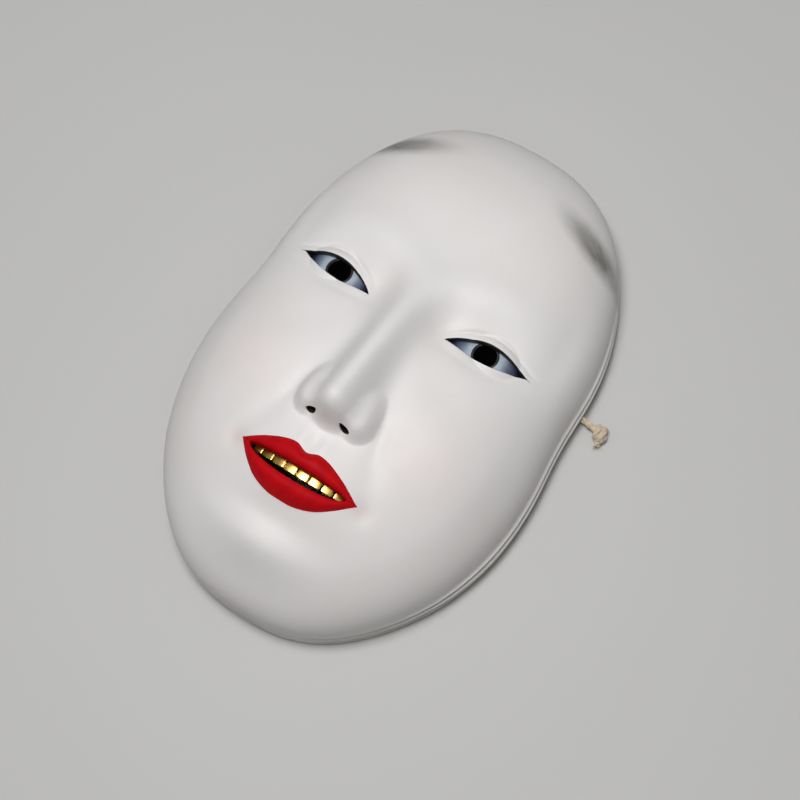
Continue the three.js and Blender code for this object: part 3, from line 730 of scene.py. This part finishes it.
def white_paint():
    paint = Paint("white_paint", {"Specular IOR Level": 0.42})
    colour = paint.mix(paint.spread(paint.noise(22, 4, 0.55), 0.35, 0.7), SKIN_WHITE, SKIN_WARM)
    colour = paint.mix(paint.spread(paint.noise(340, 2, 0.6), 0.62, 0.8, 0.0, 0.16), colour, SKIN_SPECK)
    for side in (1, -1):
        # Pink blush on the cheek and mouth corner, and painted shade, grey, in the eye socket's hollow over
        # the upper lid.
        for *place, strength, blush_and_shade in BLUSH_AND_SHADE_PATCHES:
            colour = paint.mix(paint.times(soft_patch(paint, side, *place), strength), colour, blush_and_shade)
        brow = soft_patch(paint, side, BROW_MIDDLE, BROW_SIZE, BROW_TILT, 0.16)
        brushed = paint.mapped(turn=(0, 0, math.radians(side * -17)), scale=(6, 1, 1))
        streaks = paint.noise(330, 3, 0.6, brushed)
        ink = paint.math("MULTIPLY", brow, 1.25, clamp=True)
        ink = paint.times(ink, paint.spread(streaks, 0.25, 0.7, 0.82, 1.0))
        outwards = paint.spread(paint.axes()[0], side * BROW_FADE[0], side * BROW_FADE[1], 0.45, 1.0)
        colour = paint.mix(paint.times(paint.times(ink, outwards), 0.92), colour, BROW_INK)
    paint.cover(colour)
    broad = paint.spread(paint.noise(60, 5, 0.6), 0.3, 0.7, 0.48, 0.58)
    fine = paint.spread(paint.noise(900, 2), 0.3, 0.7, -0.02, 0.04)
    paint.roughen(paint.plus(broad, fine))
    brushed = paint.noise(55, 3, 0.5, paint.mapped(turn=(0, 0, 0.5), scale=(1, 5, 1)), 0.6)
    paint.relief(paint.plus(paint.times(brushed, 0.6), paint.times(paint.noise(1500, 2), 0.16)), 0.00012, 0.5)
    return paint.material


def lip_paint():
    paint = Paint("lip_red", {"Specular IOR Level": 0.1})
    stretched = paint.mapped(scale=(1, 5, 1))
    streaks = paint.spread(paint.noise(240, 4, 0.6, stretched), 0.3, 0.75)
    colour = paint.mix(streaks, (0.53, 0.002, 0.006), (0.43, 0.001, 0.005))
    stains = paint.spread(paint.noise(40, 3), 0.4, 0.75, 0.0, 0.5)
    paint.cover(paint.mix(stains, colour, (0.58, 0.004, 0.008)))
    paint.vary_roughness(paint.noise(120, 4), 0.56, 0.70)
    paint.relief(paint.noise(420, 3, 0.5, stretched), 0.0001, 0.5)
    return paint.material


def ink_paint(name, specular):
    paint = Paint(name, {"Specular IOR Level": specular})
    paint.cover(paint.mix(paint.noise(300, 3), (0.006, 0.006, 0.008), (0.016, 0.014, 0.014)))
    paint.vary_roughness(paint.noise(200, 3), 0.34, 0.5)
    return paint.material


def inside_paint():
    paint = Paint("inside_lacquer", {"Coat Weight": 0.1, "Coat Roughness": 0.35})
    streaks = paint.noise(46, 5, 0.6, paint.mapped(scale=(1, 4, 1)), 0.8)
    paint.cover(paint.mix(paint.spread(streaks, 0.3, 0.7), (0.022, 0.015, 0.011), (0.045, 0.030, 0.020)))
    paint.vary_roughness(paint.noise(90, 4), 0.38, 0.6)
    chisel = paint.cells(110, paint.mapped(scale=(1, 1.9, 1)))
    paint.relief(paint.plus(chisel, paint.times(streaks, 0.5)), 0.0006, 0.6)
    return paint.material


def rim_paint():
    paint = Paint("rim_paint", {"Coat Weight": 0.08, "Coat Roughness": 0.35})
    clouds = paint.spread(paint.noise(30, 4, 0.6), 0.35, 0.7)
    colour = paint.mix(clouds, (0.76, 0.745, 0.715), (0.68, 0.655, 0.61))
    # Painted shade: darker brown towards the floor, over the band's foot, with an edge broken up by noise.
    height = paint.plus(paint.axes()[2], paint.times(paint.noise(130, 4), 0.003))
    foot = paint.spread(height, 0.0005, 0.0045, 1.0, 0.0)
    colour = paint.mix(paint.times(foot, 0.45), colour, (0.36, 0.31, 0.25))
    specks = paint.spread(paint.noise(520, 3, 0.7), 0.64, 0.78)
    paint.cover(paint.mix(paint.times(specks, 0.35), colour, (0.42, 0.37, 0.31)))
    paint.vary_roughness(paint.noise(80, 5, 0.6), 0.42, 0.56)
    paint.relief(paint.plus(paint.noise(140, 4), paint.times(paint.noise(1300, 2), 0.25)), 0.00015, 0.5)
    return paint.material


def pearl_paint(side, word):
    """Pale enamel round the pupil, darkened by painted shade to near black towards both corners under the
    lids, with a blue haze of painted shade between.
    """
    paint = Paint("eye_pearl_" + word, {"Coat Weight": 0.6, "Coat Roughness": 0.08})
    across = paint.math("ABSOLUTE", paint.math("SUBTRACT", paint.axes()[0], side * PUPIL[0] * MM))
    cloud = paint.times(paint.math("SUBTRACT", paint.noise(300, 4), 0.5), 0.003)
    # Painted shade: darker away from the pupil, to near black in the eye's corners, where the lids overhang.
    corner_shade = paint.spread(paint.plus(across, cloud), 0.0058, 0.0118)
    pearl = paint.mix(paint.noise(420, 4, 0.6), (0.46, 0.53, 0.60), (0.36, 0.43, 0.52))
    colour = paint.mix(corner_shade, pearl, (0.005, 0.006, 0.014))
    # Painted shade: a blue haze where the pale enamel turns dark.
    from_shade_haze = paint.math("ABSOLUTE", paint.math("SUBTRACT", across, 0.0098))
    shade_haze = paint.times(paint.spread(from_shade_haze, 0.0, 0.0035, 1.0, 0.0), 0.5)
    paint.cover(paint.mix(shade_haze, colour, (0.09, 0.12, 0.22)))
    paint.vary_roughness(paint.noise(150, 3), 0.18, 0.28)
    return paint.material


def gilding():
    paint = Paint("gilding", {"Metallic": 1.0})
    clouds = paint.spread(paint.noise(190, 4, 0.6), 0.3, 0.7)
    colour = paint.mix(clouds, (0.86, 0.60, 0.19), (0.74, 0.46, 0.12))
    worn = paint.spread(paint.noise(700, 3, 0.7), 0.62, 0.78, 0.0, 0.35)
    paint.cover(paint.mix(worn, colour, (0.42, 0.22, 0.06)))
    paint.roughen(paint.spread(paint.noise(260, 4, 0.65), 0.3, 0.72, 0.20, 0.34))
    paint.relief(paint.plus(paint.noise(320, 2), paint.times(paint.noise(1400, 3), 0.3)), 0.00006, 0.3)
    return paint.material


def cotton():
    paint = Paint("cotton", {"Roughness": 0.92, "Sheen Weight": 0.35, "Specular IOR Level": 0.2})
    clouds = paint.spread(paint.noise(520, 4, 0.65), 0.3, 0.72)
    colour = paint.mix(clouds, (0.74, 0.63, 0.47), (0.58, 0.46, 0.31))
    pale = paint.spread(paint.noise(2600, 2, 0.7), 0.5, 0.75, 0.0, 0.5)
    paint.cover(paint.mix(pale, colour, (0.84, 0.76, 0.62)))
    yarn = paint.noise(2800, 3, 0.7, paint.mapped(turn=(0.3, 0.5, 0.6), scale=(1, 5, 1)))
    paint.relief(yarn, 0.00035, 0.8)
    return paint.material


WHITE = white_paint()
LIP_RED = lip_paint()
LID_INK = ink_paint("lid_ink", 0.35)
INSIDE = inside_paint()
RIM = rim_paint()
GILT = gilding()
COTTON = cotton()
MOUTH_BLACK = ink_paint("mouth_black", 0.12)


def place_piece(piece, node):
    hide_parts(node)
    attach(piece, "root")
    return piece


# ---- face shell

RIM_BASE = outline_ring(480)


def rim_ring(grow):
    """The same places round the rim, moved outwards by grow, and by less towards crown and chin."""
    v = RIM_BASE[:, 1] / HALF_HEIGHT
    if grow > 0:
        grow = grow * (MOULDING_LEFT + (1 - MOULDING_LEFT) * (1 - ramp(0.35, 0.92, np.abs(v))))
    return outline_place(RIM_BASE[:, 0] / (HALF_WIDTH * outline_width(RIM_BASE[:, 1])), v, grow)


PAINT_WHITE, PAINT_LIPS, PAINT_LID, PAINT_INSIDE = range(4)
FRONT_ZONES = (
    (1.2, ()),
    (0.5, ((32, 16, 25, 15), (0, -24, 25, 29), (0, -58, 33, 20))),
    (0.28, ((7, -37.4, 12, 5),)),
)
BACK_ZONES = ((2.0, ()), (1.1, ((32, 16, 22, 12), (0, -30, 16, 14), (0, -58, 26, 12))))
# The shell's outside from the rim down to its foot, then in to the rabbet, as (grow, z).
SHELL_FOOT = (
    (0, 14.6), (0.02, 14.1), (0.10, 13.5), (0.28, 12.95), (0.56, 12.5), (0.92, 12.2),
    (SHELL_LIP - 0.2, 12.02), (SHELL_LIP - 0.05, 11.9), (SHELL_LIP, 11.65), (SHELL_LIP, 11.3),
    (SHELL_LIP - 0.12, 11.0), (SHELL_LIP - 0.4, SHELL_BASE), (-RABBET, SHELL_BASE),
)
# The cut edges of the eye and mouth openings: how far they lean in, and how deep their rounded lip is.
OPENING_LEAN = 0.22
LID_LIP = 0.3
MOUTH_LIP = 0.45
# The nostril's bore narrows and widens again: (share of the way in, size).
NOSTRIL_BORE = ((0.1, 0.90), (0.4, 0.86), (0.7, 0.92))


def lips_border():
    loop = mouth_loop(LIPS_HALF, lambda x: mouth(x)[1], lambda x: mouth(x)[4], 130)
    return np.vstack([loop, loop[:1]])


def lid_line(steps=44):
    """Painted line over the upper lid, with a short tail past the outer corner: its free edge in plan."""
    s = np.arange(1, steps) / steps
    a = across_eye(s)
    thick = 0.16 + 0.36 * np.sin(np.pi * s**1.25) ** 0.8
    edge = np.column_stack([a, lids(a)[1] + thick])
    return np.vstack([[EYE_INNER], edge, [(EYE_OUTER[0] + 2.2, EYE_OUTER[1] - 0.2)], [EYE_OUTER]])


def surface_paint(plan):
    """The material number at each plan point of the front."""
    lips = inside_polygon(plan, lips_border()[:-1])
    loop = eye_loop()
    ink = np.vstack([lid_line(), loop[len(loop) // 2 + 1:]])
    lid = inside_polygon(plan, ink) | inside_polygon(plan * [-1, 1], ink)
    return np.where(lips, PAINT_LIPS, np.where(lid, PAINT_LID, PAINT_WHITE))


def nostril_loop(side, inner, steps=28):
    (cx, cy), (rx, ry), tilt = NOSTRILS[inner]
    turn = 2 * np.pi * np.arange(steps) / steps
    u, v = rx * np.cos(turn), ry * np.sin(turn)
    c, s = math.cos(math.radians(tilt)), math.sin(math.radians(tilt))
    return side_of(np.column_stack([cx + c * u - s * v, cy + s * u + c * v]), side)


def parting_loop():
    return mouth_loop(PARTING_HALF, lambda x: mouth(x)[2] + 0.03, lambda x: mouth(x)[3] - 0.03)


def mouth_pocket_loop():
    top = TOOTH_TOP + FIT_GAP
    return mouth_loop(POCKET_HALF, lambda x: mouth(x)[0] + top, lambda x: mouth(x)[0] - POCKET_DROP)


def close_foot(build, rim, inner_rim):
    """The rim's turned-out foot and the rabbet behind it."""
    steps = SHELL_FOOT + ((-RABBET, TONGUE_TOP + FIT_GAP), (-SHELL_WALL, TONGUE_TOP + FIT_GAP))
    rings = [rim] + [build.add(lift(rim_ring(grow), z)) for grow, z in steps] + [inner_rim]
    build.bridge(rings[:len(SHELL_FOOT) + 1], PAINT_WHITE)
    build.bridge(rings[len(SHELL_FOOT):], PAINT_INSIDE)


def close_eye(build, side, loop, outer, inner):
    """The lids' cut edges, and the pocket behind them that holds the eye plate."""
    low, high = lids(np.abs(loop[:, 0]))
    upper = loop[:, 1] > (low + high) / 2 + 0.01
    inset = grow_loop(loop, -OPENING_LEAN)
    lip = build.add(np.column_stack([inset, front(*loop.T) - LID_LIP]))
    foot = build.add(lift(inset, behind_lids))
    build.bridge([outer, lip, foot], np.where(upper | np.roll(upper, -1), PAINT_LID, PAINT_WHITE))
    growths = (0.6, 1.6, EYE_PLATE_MARGIN + EYE_PLATE_GAP)
    pocket = [build.add(lift(side_of(eye_loop(grow), side), behind_lids)) for grow in growths]
    build.bridge([foot, *pocket, inner], PAINT_INSIDE)


def close_mouth(build, loop, outer, inner):
    """The lips' cut edges, and the pocket behind them that holds the teeth."""
    inset = grow_loop(loop, -OPENING_LEAN)
    lip = build.add(np.column_stack([inset, front(*loop.T) - MOUTH_LIP]))
    build.bridge([outer, lip], PAINT_LIPS)
    foot = build.add(lift(inset, before_teeth))
    half_way = len(loop) // 2
    build.bridge([lip, foot], np.where(np.arange(len(loop)) >= half_way, PAINT_LIPS, PAINT_INSIDE))
    build.bridge([foot, build.add(lift(mouth_pocket_loop(), before_teeth)), inner], PAINT_INSIDE)


def close_nostril(build, outer_loop, inner_loop, outer, inner):
    start, end = lift(outer_loop, front), lift(inner_loop, hollow)
    rings = [outer]
    for share, size in NOSTRIL_BORE:
        middle = start * (1 - share) + end * share
        centre = middle.mean(0)
        rings.append(build.add(centre + (middle - centre) * size))
    build.bridge(rings[:2], PAINT_WHITE)
    build.bridge(rings[1:] + [inner], PAINT_INSIDE)


def build_face():
    build = Builder()
    lines = [lips_border()]
    for side in (1, -1):
        a = np.linspace(PARTING_HALF, LIPS_HALF, 8)
        lines.append(np.column_stack([side * a, mouth(a)[0]]))
        lines.append(lid_line() * [side, 1])
    eye = eye_loop()
    outer_loops = [eye, side_of(eye, -1), parting_loop(), nostril_loop(1, 0), nostril_loop(-1, 0)]
    rim, *outer = mesh_sheet(build, front, 0.0, rim_ring(0.0), outer_loops, lines, FRONT_ZONES, surface_paint)
    pocket = eye_loop(EYE_PLATE_MARGIN + EYE_PLATE_GAP)
    inner_loops = [pocket, side_of(pocket, -1), mouth_pocket_loop(), nostril_loop(1, 1), nostril_loop(-1, 1)]
    inner_rim, *inner = mesh_sheet(
        build, hollow, -SHELL_WALL, rim_ring(-SHELL_WALL), inner_loops, [], BACK_ZONES,
        lambda plan: np.full(len(plan), PAINT_INSIDE),
    )
    close_foot(build, rim, inner_rim)
    for k, side in enumerate((1, -1)):
        close_eye(build, side, outer_loops[k], outer[k], inner[k])
    close_mouth(build, outer_loops[2], outer[2], inner[2])
    for k in (3, 4):
        close_nostril(build, outer_loops[k], inner_loops[k], outer[k], inner[k])
    return build.finish("mask_face", [WHITE, LIP_RED, LID_INK, INSIDE], 38)


place_piece(build_face(), "face_shell")

# ---- rim band

BEAD_RADIUS = 0.75
FOOT_MIDDLE = 1.7
FOOT_RADIUS = 0.95
BEAD_STEPS = 9


def bead(reach_out, middle, radius, body):
    """Half-round bead on the band's outside as (grow, z) points from its top to its foot."""
    angles = [math.radians(80 - 160 * k / (BEAD_STEPS - 1)) for k in range(BEAD_STEPS)]
    return [(body + (reach_out - body) * math.cos(a), middle + radius * math.sin(a)) for a in angles]


def band_section():
    """The band's section as (grow, z) points: up inside the shell, down the mouldings, in under the foot."""
    upper = BAND_TOP - BEAD_DROP
    tongue = -RABBET - FIT_GAP
    inside = [(-SHELL_WALL, 0.4), (-SHELL_WALL, TONGUE_TOP - 0.3), (-SHELL_WALL + 0.3, TONGUE_TOP)]
    inside += [(tongue - 0.3, TONGUE_TOP), (tongue, TONGUE_TOP - 0.3), (tongue, BAND_TOP)]
    ledge = [(0.0, BAND_TOP), (0.2, BAND_TOP - 0.1), (0.3, BAND_TOP - 0.4), (0.35, BAND_TOP - 1.1)]
    body = [(-0.5, upper - 0.85), (-0.6, upper - 1.15), (-0.5, upper - 1.5), (-0.05, upper - 1.9)]
    body += [(0.0, 5.2), (0.0, 3.5), (-0.4, 3.1), (-0.5, 2.75)]
    foot = [(-0.1, 0.45), (-0.3, 0.12), (-0.5, 0.0)]
    return (
        inside + ledge
        + bead(BEAD_REACH, upper, BEAD_RADIUS, BAND_FLARE - 0.3)
        + [(BAND_FLARE + grow, z) for grow, z in body]
        + bead(FOOT_REACH, FOOT_MIDDLE, FOOT_RADIUS, BAND_FLARE)
        + [(BAND_FLARE + grow, z) for grow, z in foot]
        + [(-SHELL_WALL + 0.4, 0.0)]
    )


def build_band():
    build = Builder()
    rings = [build.add(lift(rim_ring(grow), z)) for grow, z in band_section()]
    build.bridge(rings + rings[:1])
    band = build.finish("mask_rim_band", [RIM], 32)
    bpy.ops.mesh.primitive_cylinder_add(
        vertices=40, radius=CORD_BORE_RADIUS * MM, depth=0.2,
        location=(0, CORD_BORE_Y * MM, CORD_BORE_Z * MM), rotation=(0, math.pi / 2, 0),
    )
    cutter = bpy.context.object
    cut = band.modifiers.new("bores", "BOOLEAN")
    cut.object, cut.operation, cut.solver = cutter, "DIFFERENCE", "EXACT"
    graph = bpy.context.evaluated_depsgraph_get()
    mesh = bpy.data.meshes.new_from_object(band.evaluated_get(graph))
    band.modifiers.clear()
    band.data = mesh
    bpy.data.objects.remove(cutter)
    mesh.set_sharp_from_angle(angle=math.radians(32))
    return band


place_piece(build_band(), "rim_band")

# ---- eye plates

EYE_PEARL, EYE_INK, EYE_BACK = range(3)


def build_eye_plate(side, word):
    build = Builder()
    outline = side_of(eye_loop(EYE_PLATE_MARGIN), side)
    centre = np.array([side * PUPIL[0], PUPIL[1]])
    outwards = unit(outline - centre)

    def ring_at(radius, share, drop):
        """Ring a share of the way from the circle to the outline, drop under the plate's front."""
        plan = centre + outwards * radius
        plan = plan + (outline - plan) * share
        return build.add(lift(plan, lambda x, y: behind_lids(x, y) - EYE_PLATE_GAP - drop))

    pupil = [(PUPIL_RADIUS, 0, 0.3), (PUPIL_RADIUS + 0.12, 0, 0.1), (PUPIL_RADIUS + 0.35, 0, 0.0)]
    pearl = [(IRIS_RADIUS, share, 0.0) for share in (0, 0.12, 0.26, 0.42, 0.6, 0.78, 0.93)]
    rings = [ring_at(*spec) for spec in pupil + pearl + [(IRIS_RADIUS, 1.0, 0.15)]]
    build.bridge(rings[:len(pupil) + 1], EYE_INK)
    build.bridge(rings[len(pupil):], EYE_PEARL)
    under = ((IRIS_RADIUS, 1.0), (IRIS_RADIUS, 0.5), (PUPIL_RADIUS, 0))
    back = [ring_at(radius, share, EYE_PLATE_THICKNESS) for radius, share in under]
    build.bridge([rings[-1], *back], EYE_BACK)
    build.bridge([back[-1], rings[0]], EYE_INK)
    return build.finish("mask_eye_" + word, [pearl_paint(side, word), LID_INK, INSIDE], 40)


for side, word in SIDES:
    place_piece(build_eye_plate(side, word), "eye_plate_" + word)

# ---- teeth

TOOTH_BELLY = 0.16
TOOTH_TIP = 0.10
TOOTH_LEAN = 0.02


def build_tooth(index, side, word):
    """A plate with rounded edges, a swelling front and a lower edge a little higher at its corners."""
    width, height = TOOTH_WIDTHS[index] - TOOTH_GAP, TOOTH_TOP - TOOTH_BOTTOM
    bm = bmesh.new()
    bmesh.ops.create_cube(bm, size=1)
    bmesh.ops.scale(bm, vec=(width, height, TOOTH_THICKNESS), verts=bm.verts)
    bmesh.ops.subdivide_edges(bm, edges=bm.edges, cuts=5, use_grid_fill=True)
    edges = [e for e in bm.edges if e.is_boundary or e.calc_face_angle(0) > 1]
    bmesh.ops.bevel(bm, geom=edges, offset=0.3, segments=3, profile=0.6, affect="EDGES")
    lean = rng.uniform(-TOOTH_LEAN, TOOTH_LEAN)
    for v in bm.verts:
        x, y, z = v.co
        to_side = (2 * x / width) ** 2
        belly = TOOTH_BELLY * (1 - to_side) if z > 0 else 0
        tip = TOOTH_TIP * to_side if y < 0 else 0
        v.co = (x + lean * y, y + tip, z + belly - TOOTH_BELLY)
    turn = math.atan(2 * TEETH_CURVE * TOOTH_CENTRES[index]) * side
    bmesh.ops.transform(bm, matrix=Matrix.Rotation(turn, 4, "Y"), verts=bm.verts)
    x = side * TOOTH_CENTRES[index]
    y = float(mouth(np.array(x))[0]) + (TOOTH_TOP + TOOTH_BOTTOM) / 2
    z = teeth_front(x) - TOOTH_THICKNESS / 2 - TOOTH_SINK
    bmesh.ops.translate(bm, vec=(x, y, z), verts=bm.verts)
    bmesh.ops.scale(bm, vec=(MM, MM, MM), verts=bm.verts)
    name = f"mask_tooth_{word}_{index + 1}"
    mesh = bpy.data.meshes.new(name)
    bm.to_mesh(mesh)
    bm.free()
    mesh.shade_smooth()
    mesh.materials.append(GILT)
    return link(name, mesh)


for index in range(len(TOOTH_CENTRES)):
    for side, word in SIDES:
        place_piece(build_tooth(index, side, word), f"upper_tooth_{word}_{index + 1}")


def build_strip():
    build = Builder()
    x = np.linspace(-STRIP_HALF, STRIP_HALF, 61)
    z = teeth_front(x) - TOOTH_THICKNESS - STRIP_GAP
    high = MOUTH_Y + TOOTH_TOP
    low = high - (TOOTH_TOP - TOOTH_BOTTOM - STRIP_INSET)
    section = [(low + 0.3, 0.0), (high - 0.3, 0.0), (high, -0.3), (high, -1.3)]
    section += [(high - 0.3, -STRIP_THICKNESS), (low + 0.3, -STRIP_THICKNESS), (low, -1.3), (low, -0.3)]
    rows = [build.add(np.column_stack([x, np.full(len(x), y), z + drop])) for y, drop in section]
    build.bridge(rows + rows[:1], closed=False)
    build.face([row[0] for row in rows])
    build.face([row[-1] for row in rows])
    return build.finish("mask_tooth_strip", [MOUTH_BLACK], 30)


place_piece(build_strip(), "tooth_strip")

# ---- head cord and its knots


def between(u, v, start, end, t):
    """The point at t on the line through u, at start, and v, at end."""
    return (end - t) / (end - start) * u + (t - start) / (end - start) * v


def smooth_path(points, step):
    """Centripetal Catmull-Rom curve through the points, resampled evenly."""
    p = np.array(points, float)
    p = np.vstack([2 * p[0] - p[1], p, 2 * p[-1] - p[-2]])
    dense = []
    for k in range(1, len(p) - 2):
        a, b, c, d = p[k - 1], p[k], p[k + 1], p[k + 2]
        t = [0.0]
        for u, v in ((a, b), (b, c), (c, d)):
            t.append(t[-1] + max(np.linalg.norm(v - u), 1e-6) ** 0.5)
        for s in np.linspace(t[1], t[2], 24, endpoint=False):
            ab = between(a, b, t[0], t[1], s)
            bc = between(b, c, t[1], t[2], s)
            cd = between(c, d, t[2], t[3], s)
            abc, bcd = between(ab, bc, t[0], t[2], s), between(bc, cd, t[1], t[3], s)
            dense.append(between(abc, bcd, t[1], t[2], s))
    dense.append(p[-2])
    dense = np.array(dense)
    run = np.concatenate([[0], np.cumsum(np.linalg.norm(np.diff(dense, axis=0), axis=1))])
    count = max(int(round(run[-1] / step)), 2)
    places = np.linspace(0, run[-1], count + 1)
    return np.column_stack([np.interp(places, run, dense[:, k]) for k in range(3)]), run[-1]


# One strand of three, as shares of the cord's radius.
STRAND_RADIUS = 0.62
STRAND_OFFSET = 0.38
CORD_PITCH = 9.0
KNOT_PITCH = 8.5


def ring_round(point, side, other, turn, radius):
    """A ring of points round one point, in the plane of side and other."""
    return point + (np.cos(turn)[:, None] * side + np.sin(turn)[:, None] * other) * radius


def rope(build, path, pitch, first_strand=None, sides=30):
    """Three-strand twisted cord swept along a path, with rounded ends.

    first_strand points from the middle of the cord's start to a strand. Returns it for both ends.
    """
    tangent = unit(np.gradient(path, axis=0))
    side = np.cross(tangent[0], [0.0, 0.0, 1.0]) if first_strand is None else np.array(first_strand)
    start_strand = side = unit(side - tangent[0] * np.dot(side, tangent[0]))
    angle = 2 * np.pi * np.arange(sides) / sides
    from_strand = (angle + np.pi / 3) % (2 * np.pi / 3) - np.pi / 3
    depth = STRAND_RADIUS**2 - (STRAND_OFFSET * np.sin(from_strand)) ** 2
    radius = STRAND_OFFSET * np.cos(from_strand) + np.sqrt(np.maximum(depth, 0.02**2))
    radius = (radius * CORD_DIAMETER / 2)[:, None]
    travelled = 0.0
    rows = []
    for i, point in enumerate(path):
        if i:
            travelled += np.linalg.norm(point - path[i - 1])
            side = unit(side - tangent[i] * np.dot(side, tangent[i]))
        turn = angle + 2 * np.pi * travelled / pitch
        ring = ring_round(point, side, np.cross(tangent[i], side), turn, radius)
        rows.append(build.add(ring))
    build.bridge(rows)
    for row, point, outward in ((rows[0], path[0], -tangent[0]), (rows[-1], path[-1], tangent[-1])):
        tip = build.add([point + outward * CORD_DIAMETER * 0.12])[0]
        for i in range(sides):
            build.face((row[i], row[(i + 1) % sides], tip))
    return start_strand, ring[0] - path[-1]


FIBRE_COUNT = 46
FIBRE_LENGTH = 2.0
FIBRE_DIAMETER = 0.09
FIBRE_FAN = 0.9


def fibres(build, at, direction, seed):
    """Loose cotton fibres standing out of a cut end."""
    pick = random.Random(seed)
    direction = unit(direction)
    for _ in range(FIBRE_COUNT):
        tilt = np.array([pick.gauss(0, 1) for _ in range(3)]) * FIBRE_FAN
        way = unit(direction + tilt * 0.5)
        start = at + np.array([pick.uniform(-0.9, 0.9) for _ in range(3)])
        bend = np.array([pick.gauss(0, 1) for _ in range(3)]) * 0.35
        length = FIBRE_LENGTH * pick.uniform(0.5, 1.1)
        share = np.linspace(0, 1, 6)[:, None]
        points = start + way * length * share + bend * length * share**2
        points[:, 2] = np.maximum(points[:, 2], 0.12)
        fibre_tube(build, points)


def fibre_tube(build, path, sides=5):
    """Tapering tube with closed ends."""
    turn = 2 * np.pi * np.arange(sides) / sides
    rows = []
    for i, (point, way) in enumerate(zip(path, unit(np.gradient(path, axis=0)))):
        side = unit(np.cross(way, [0.3, 0.5, 0.81]))
        radius = FIBRE_DIAMETER / 2 * (1 - 0.7 * i / (len(path) - 1))
        rows.append(build.add(ring_round(point, side, np.cross(way, side), turn, radius)))
    build.bridge(rows)
    build.face(rows[0])
    build.face(rows[-1])


cord_path, cord_length = smooth_path(CORD_ROUTE, 0.55)
build = Builder()
strand_right, strand_left = rope(build, cord_path, CORD_PITCH)
head_cord = place_piece(build.finish("mask_head_cord", [COTTON], 50), "head_cord")

WRAP_SIDE = 2.25
WRAP_UP = 1.7
WRAP_TURNS = 1.45
WRAP_FROM = 1.8
WRAP_RUN = 3.4
TAIL_OUT = 0.9
TAIL_DOWN = 4.3


def build_knot(word, start, strand, centre, outward, share, seed):
    """Overhand stopper knot: the cord runs in, wraps round itself, and its frayed end sticks out.

    share squeezes the knot along the cord.
    """
    start, centre = np.array(start, float), np.array(centre, float)
    axis = unit(centre - start)
    side = unit(np.cross(axis, [0.0, 0.0, 1.0]))
    up = np.cross(side, axis)
    points = [start, start + axis, centre - axis * 0.4 * share, centre + axis * 1.6 * share]
    for k in np.linspace(0, 1, 15):
        angle = -0.6 + 2 * np.pi * WRAP_TURNS * k
        wrap = side * math.cos(angle) * WRAP_SIDE + up * math.sin(angle) * WRAP_UP
        points.append(centre + axis * (WRAP_FROM - WRAP_RUN * k) * share + wrap)
    tail = np.array([centre[0] + outward * TAIL_OUT, centre[1] - TAIL_DOWN, CORD_DIAMETER / 2])
    points += [centre + (tail - centre) * 0.62 + up * 0.5, tail]
    path, _ = smooth_path(points, 0.35)
    path[:, 2] = np.maximum(path[:, 2], CORD_DIAMETER * 0.5)
    build = Builder()
    rope(build, path, KNOT_PITCH, strand, 24)
    fibres(build, tail, tail - centre, seed)
    knot = build.finish("mask_knot_" + word, [COTTON], 50)
    return place_piece(knot, "cord_knot_" + word)


knot_right = build_knot("right", CORD_ROUTE[0], strand_right, KNOT_RIGHT, 1, 1.0, 5)
knot_left = build_knot("left", CORD_ROUTE[-1], strand_left, KNOT_LEFT, -1, 0.45, 9)

# ---- floor and finish


def build_floor():
    bpy.ops.mesh.primitive_plane_add(size=60, location=(0, 0, 0))
    floor = bpy.context.object
    floor.name = "floor"
    paint = Paint("floor_pale", {"Roughness": 0.75})
    paint.cover(paint.mix(paint.noise(3, 2), (0.56, 0.555, 0.545), (0.60, 0.595, 0.585)))
    floor.data.materials.append(paint.material)


build_floor()
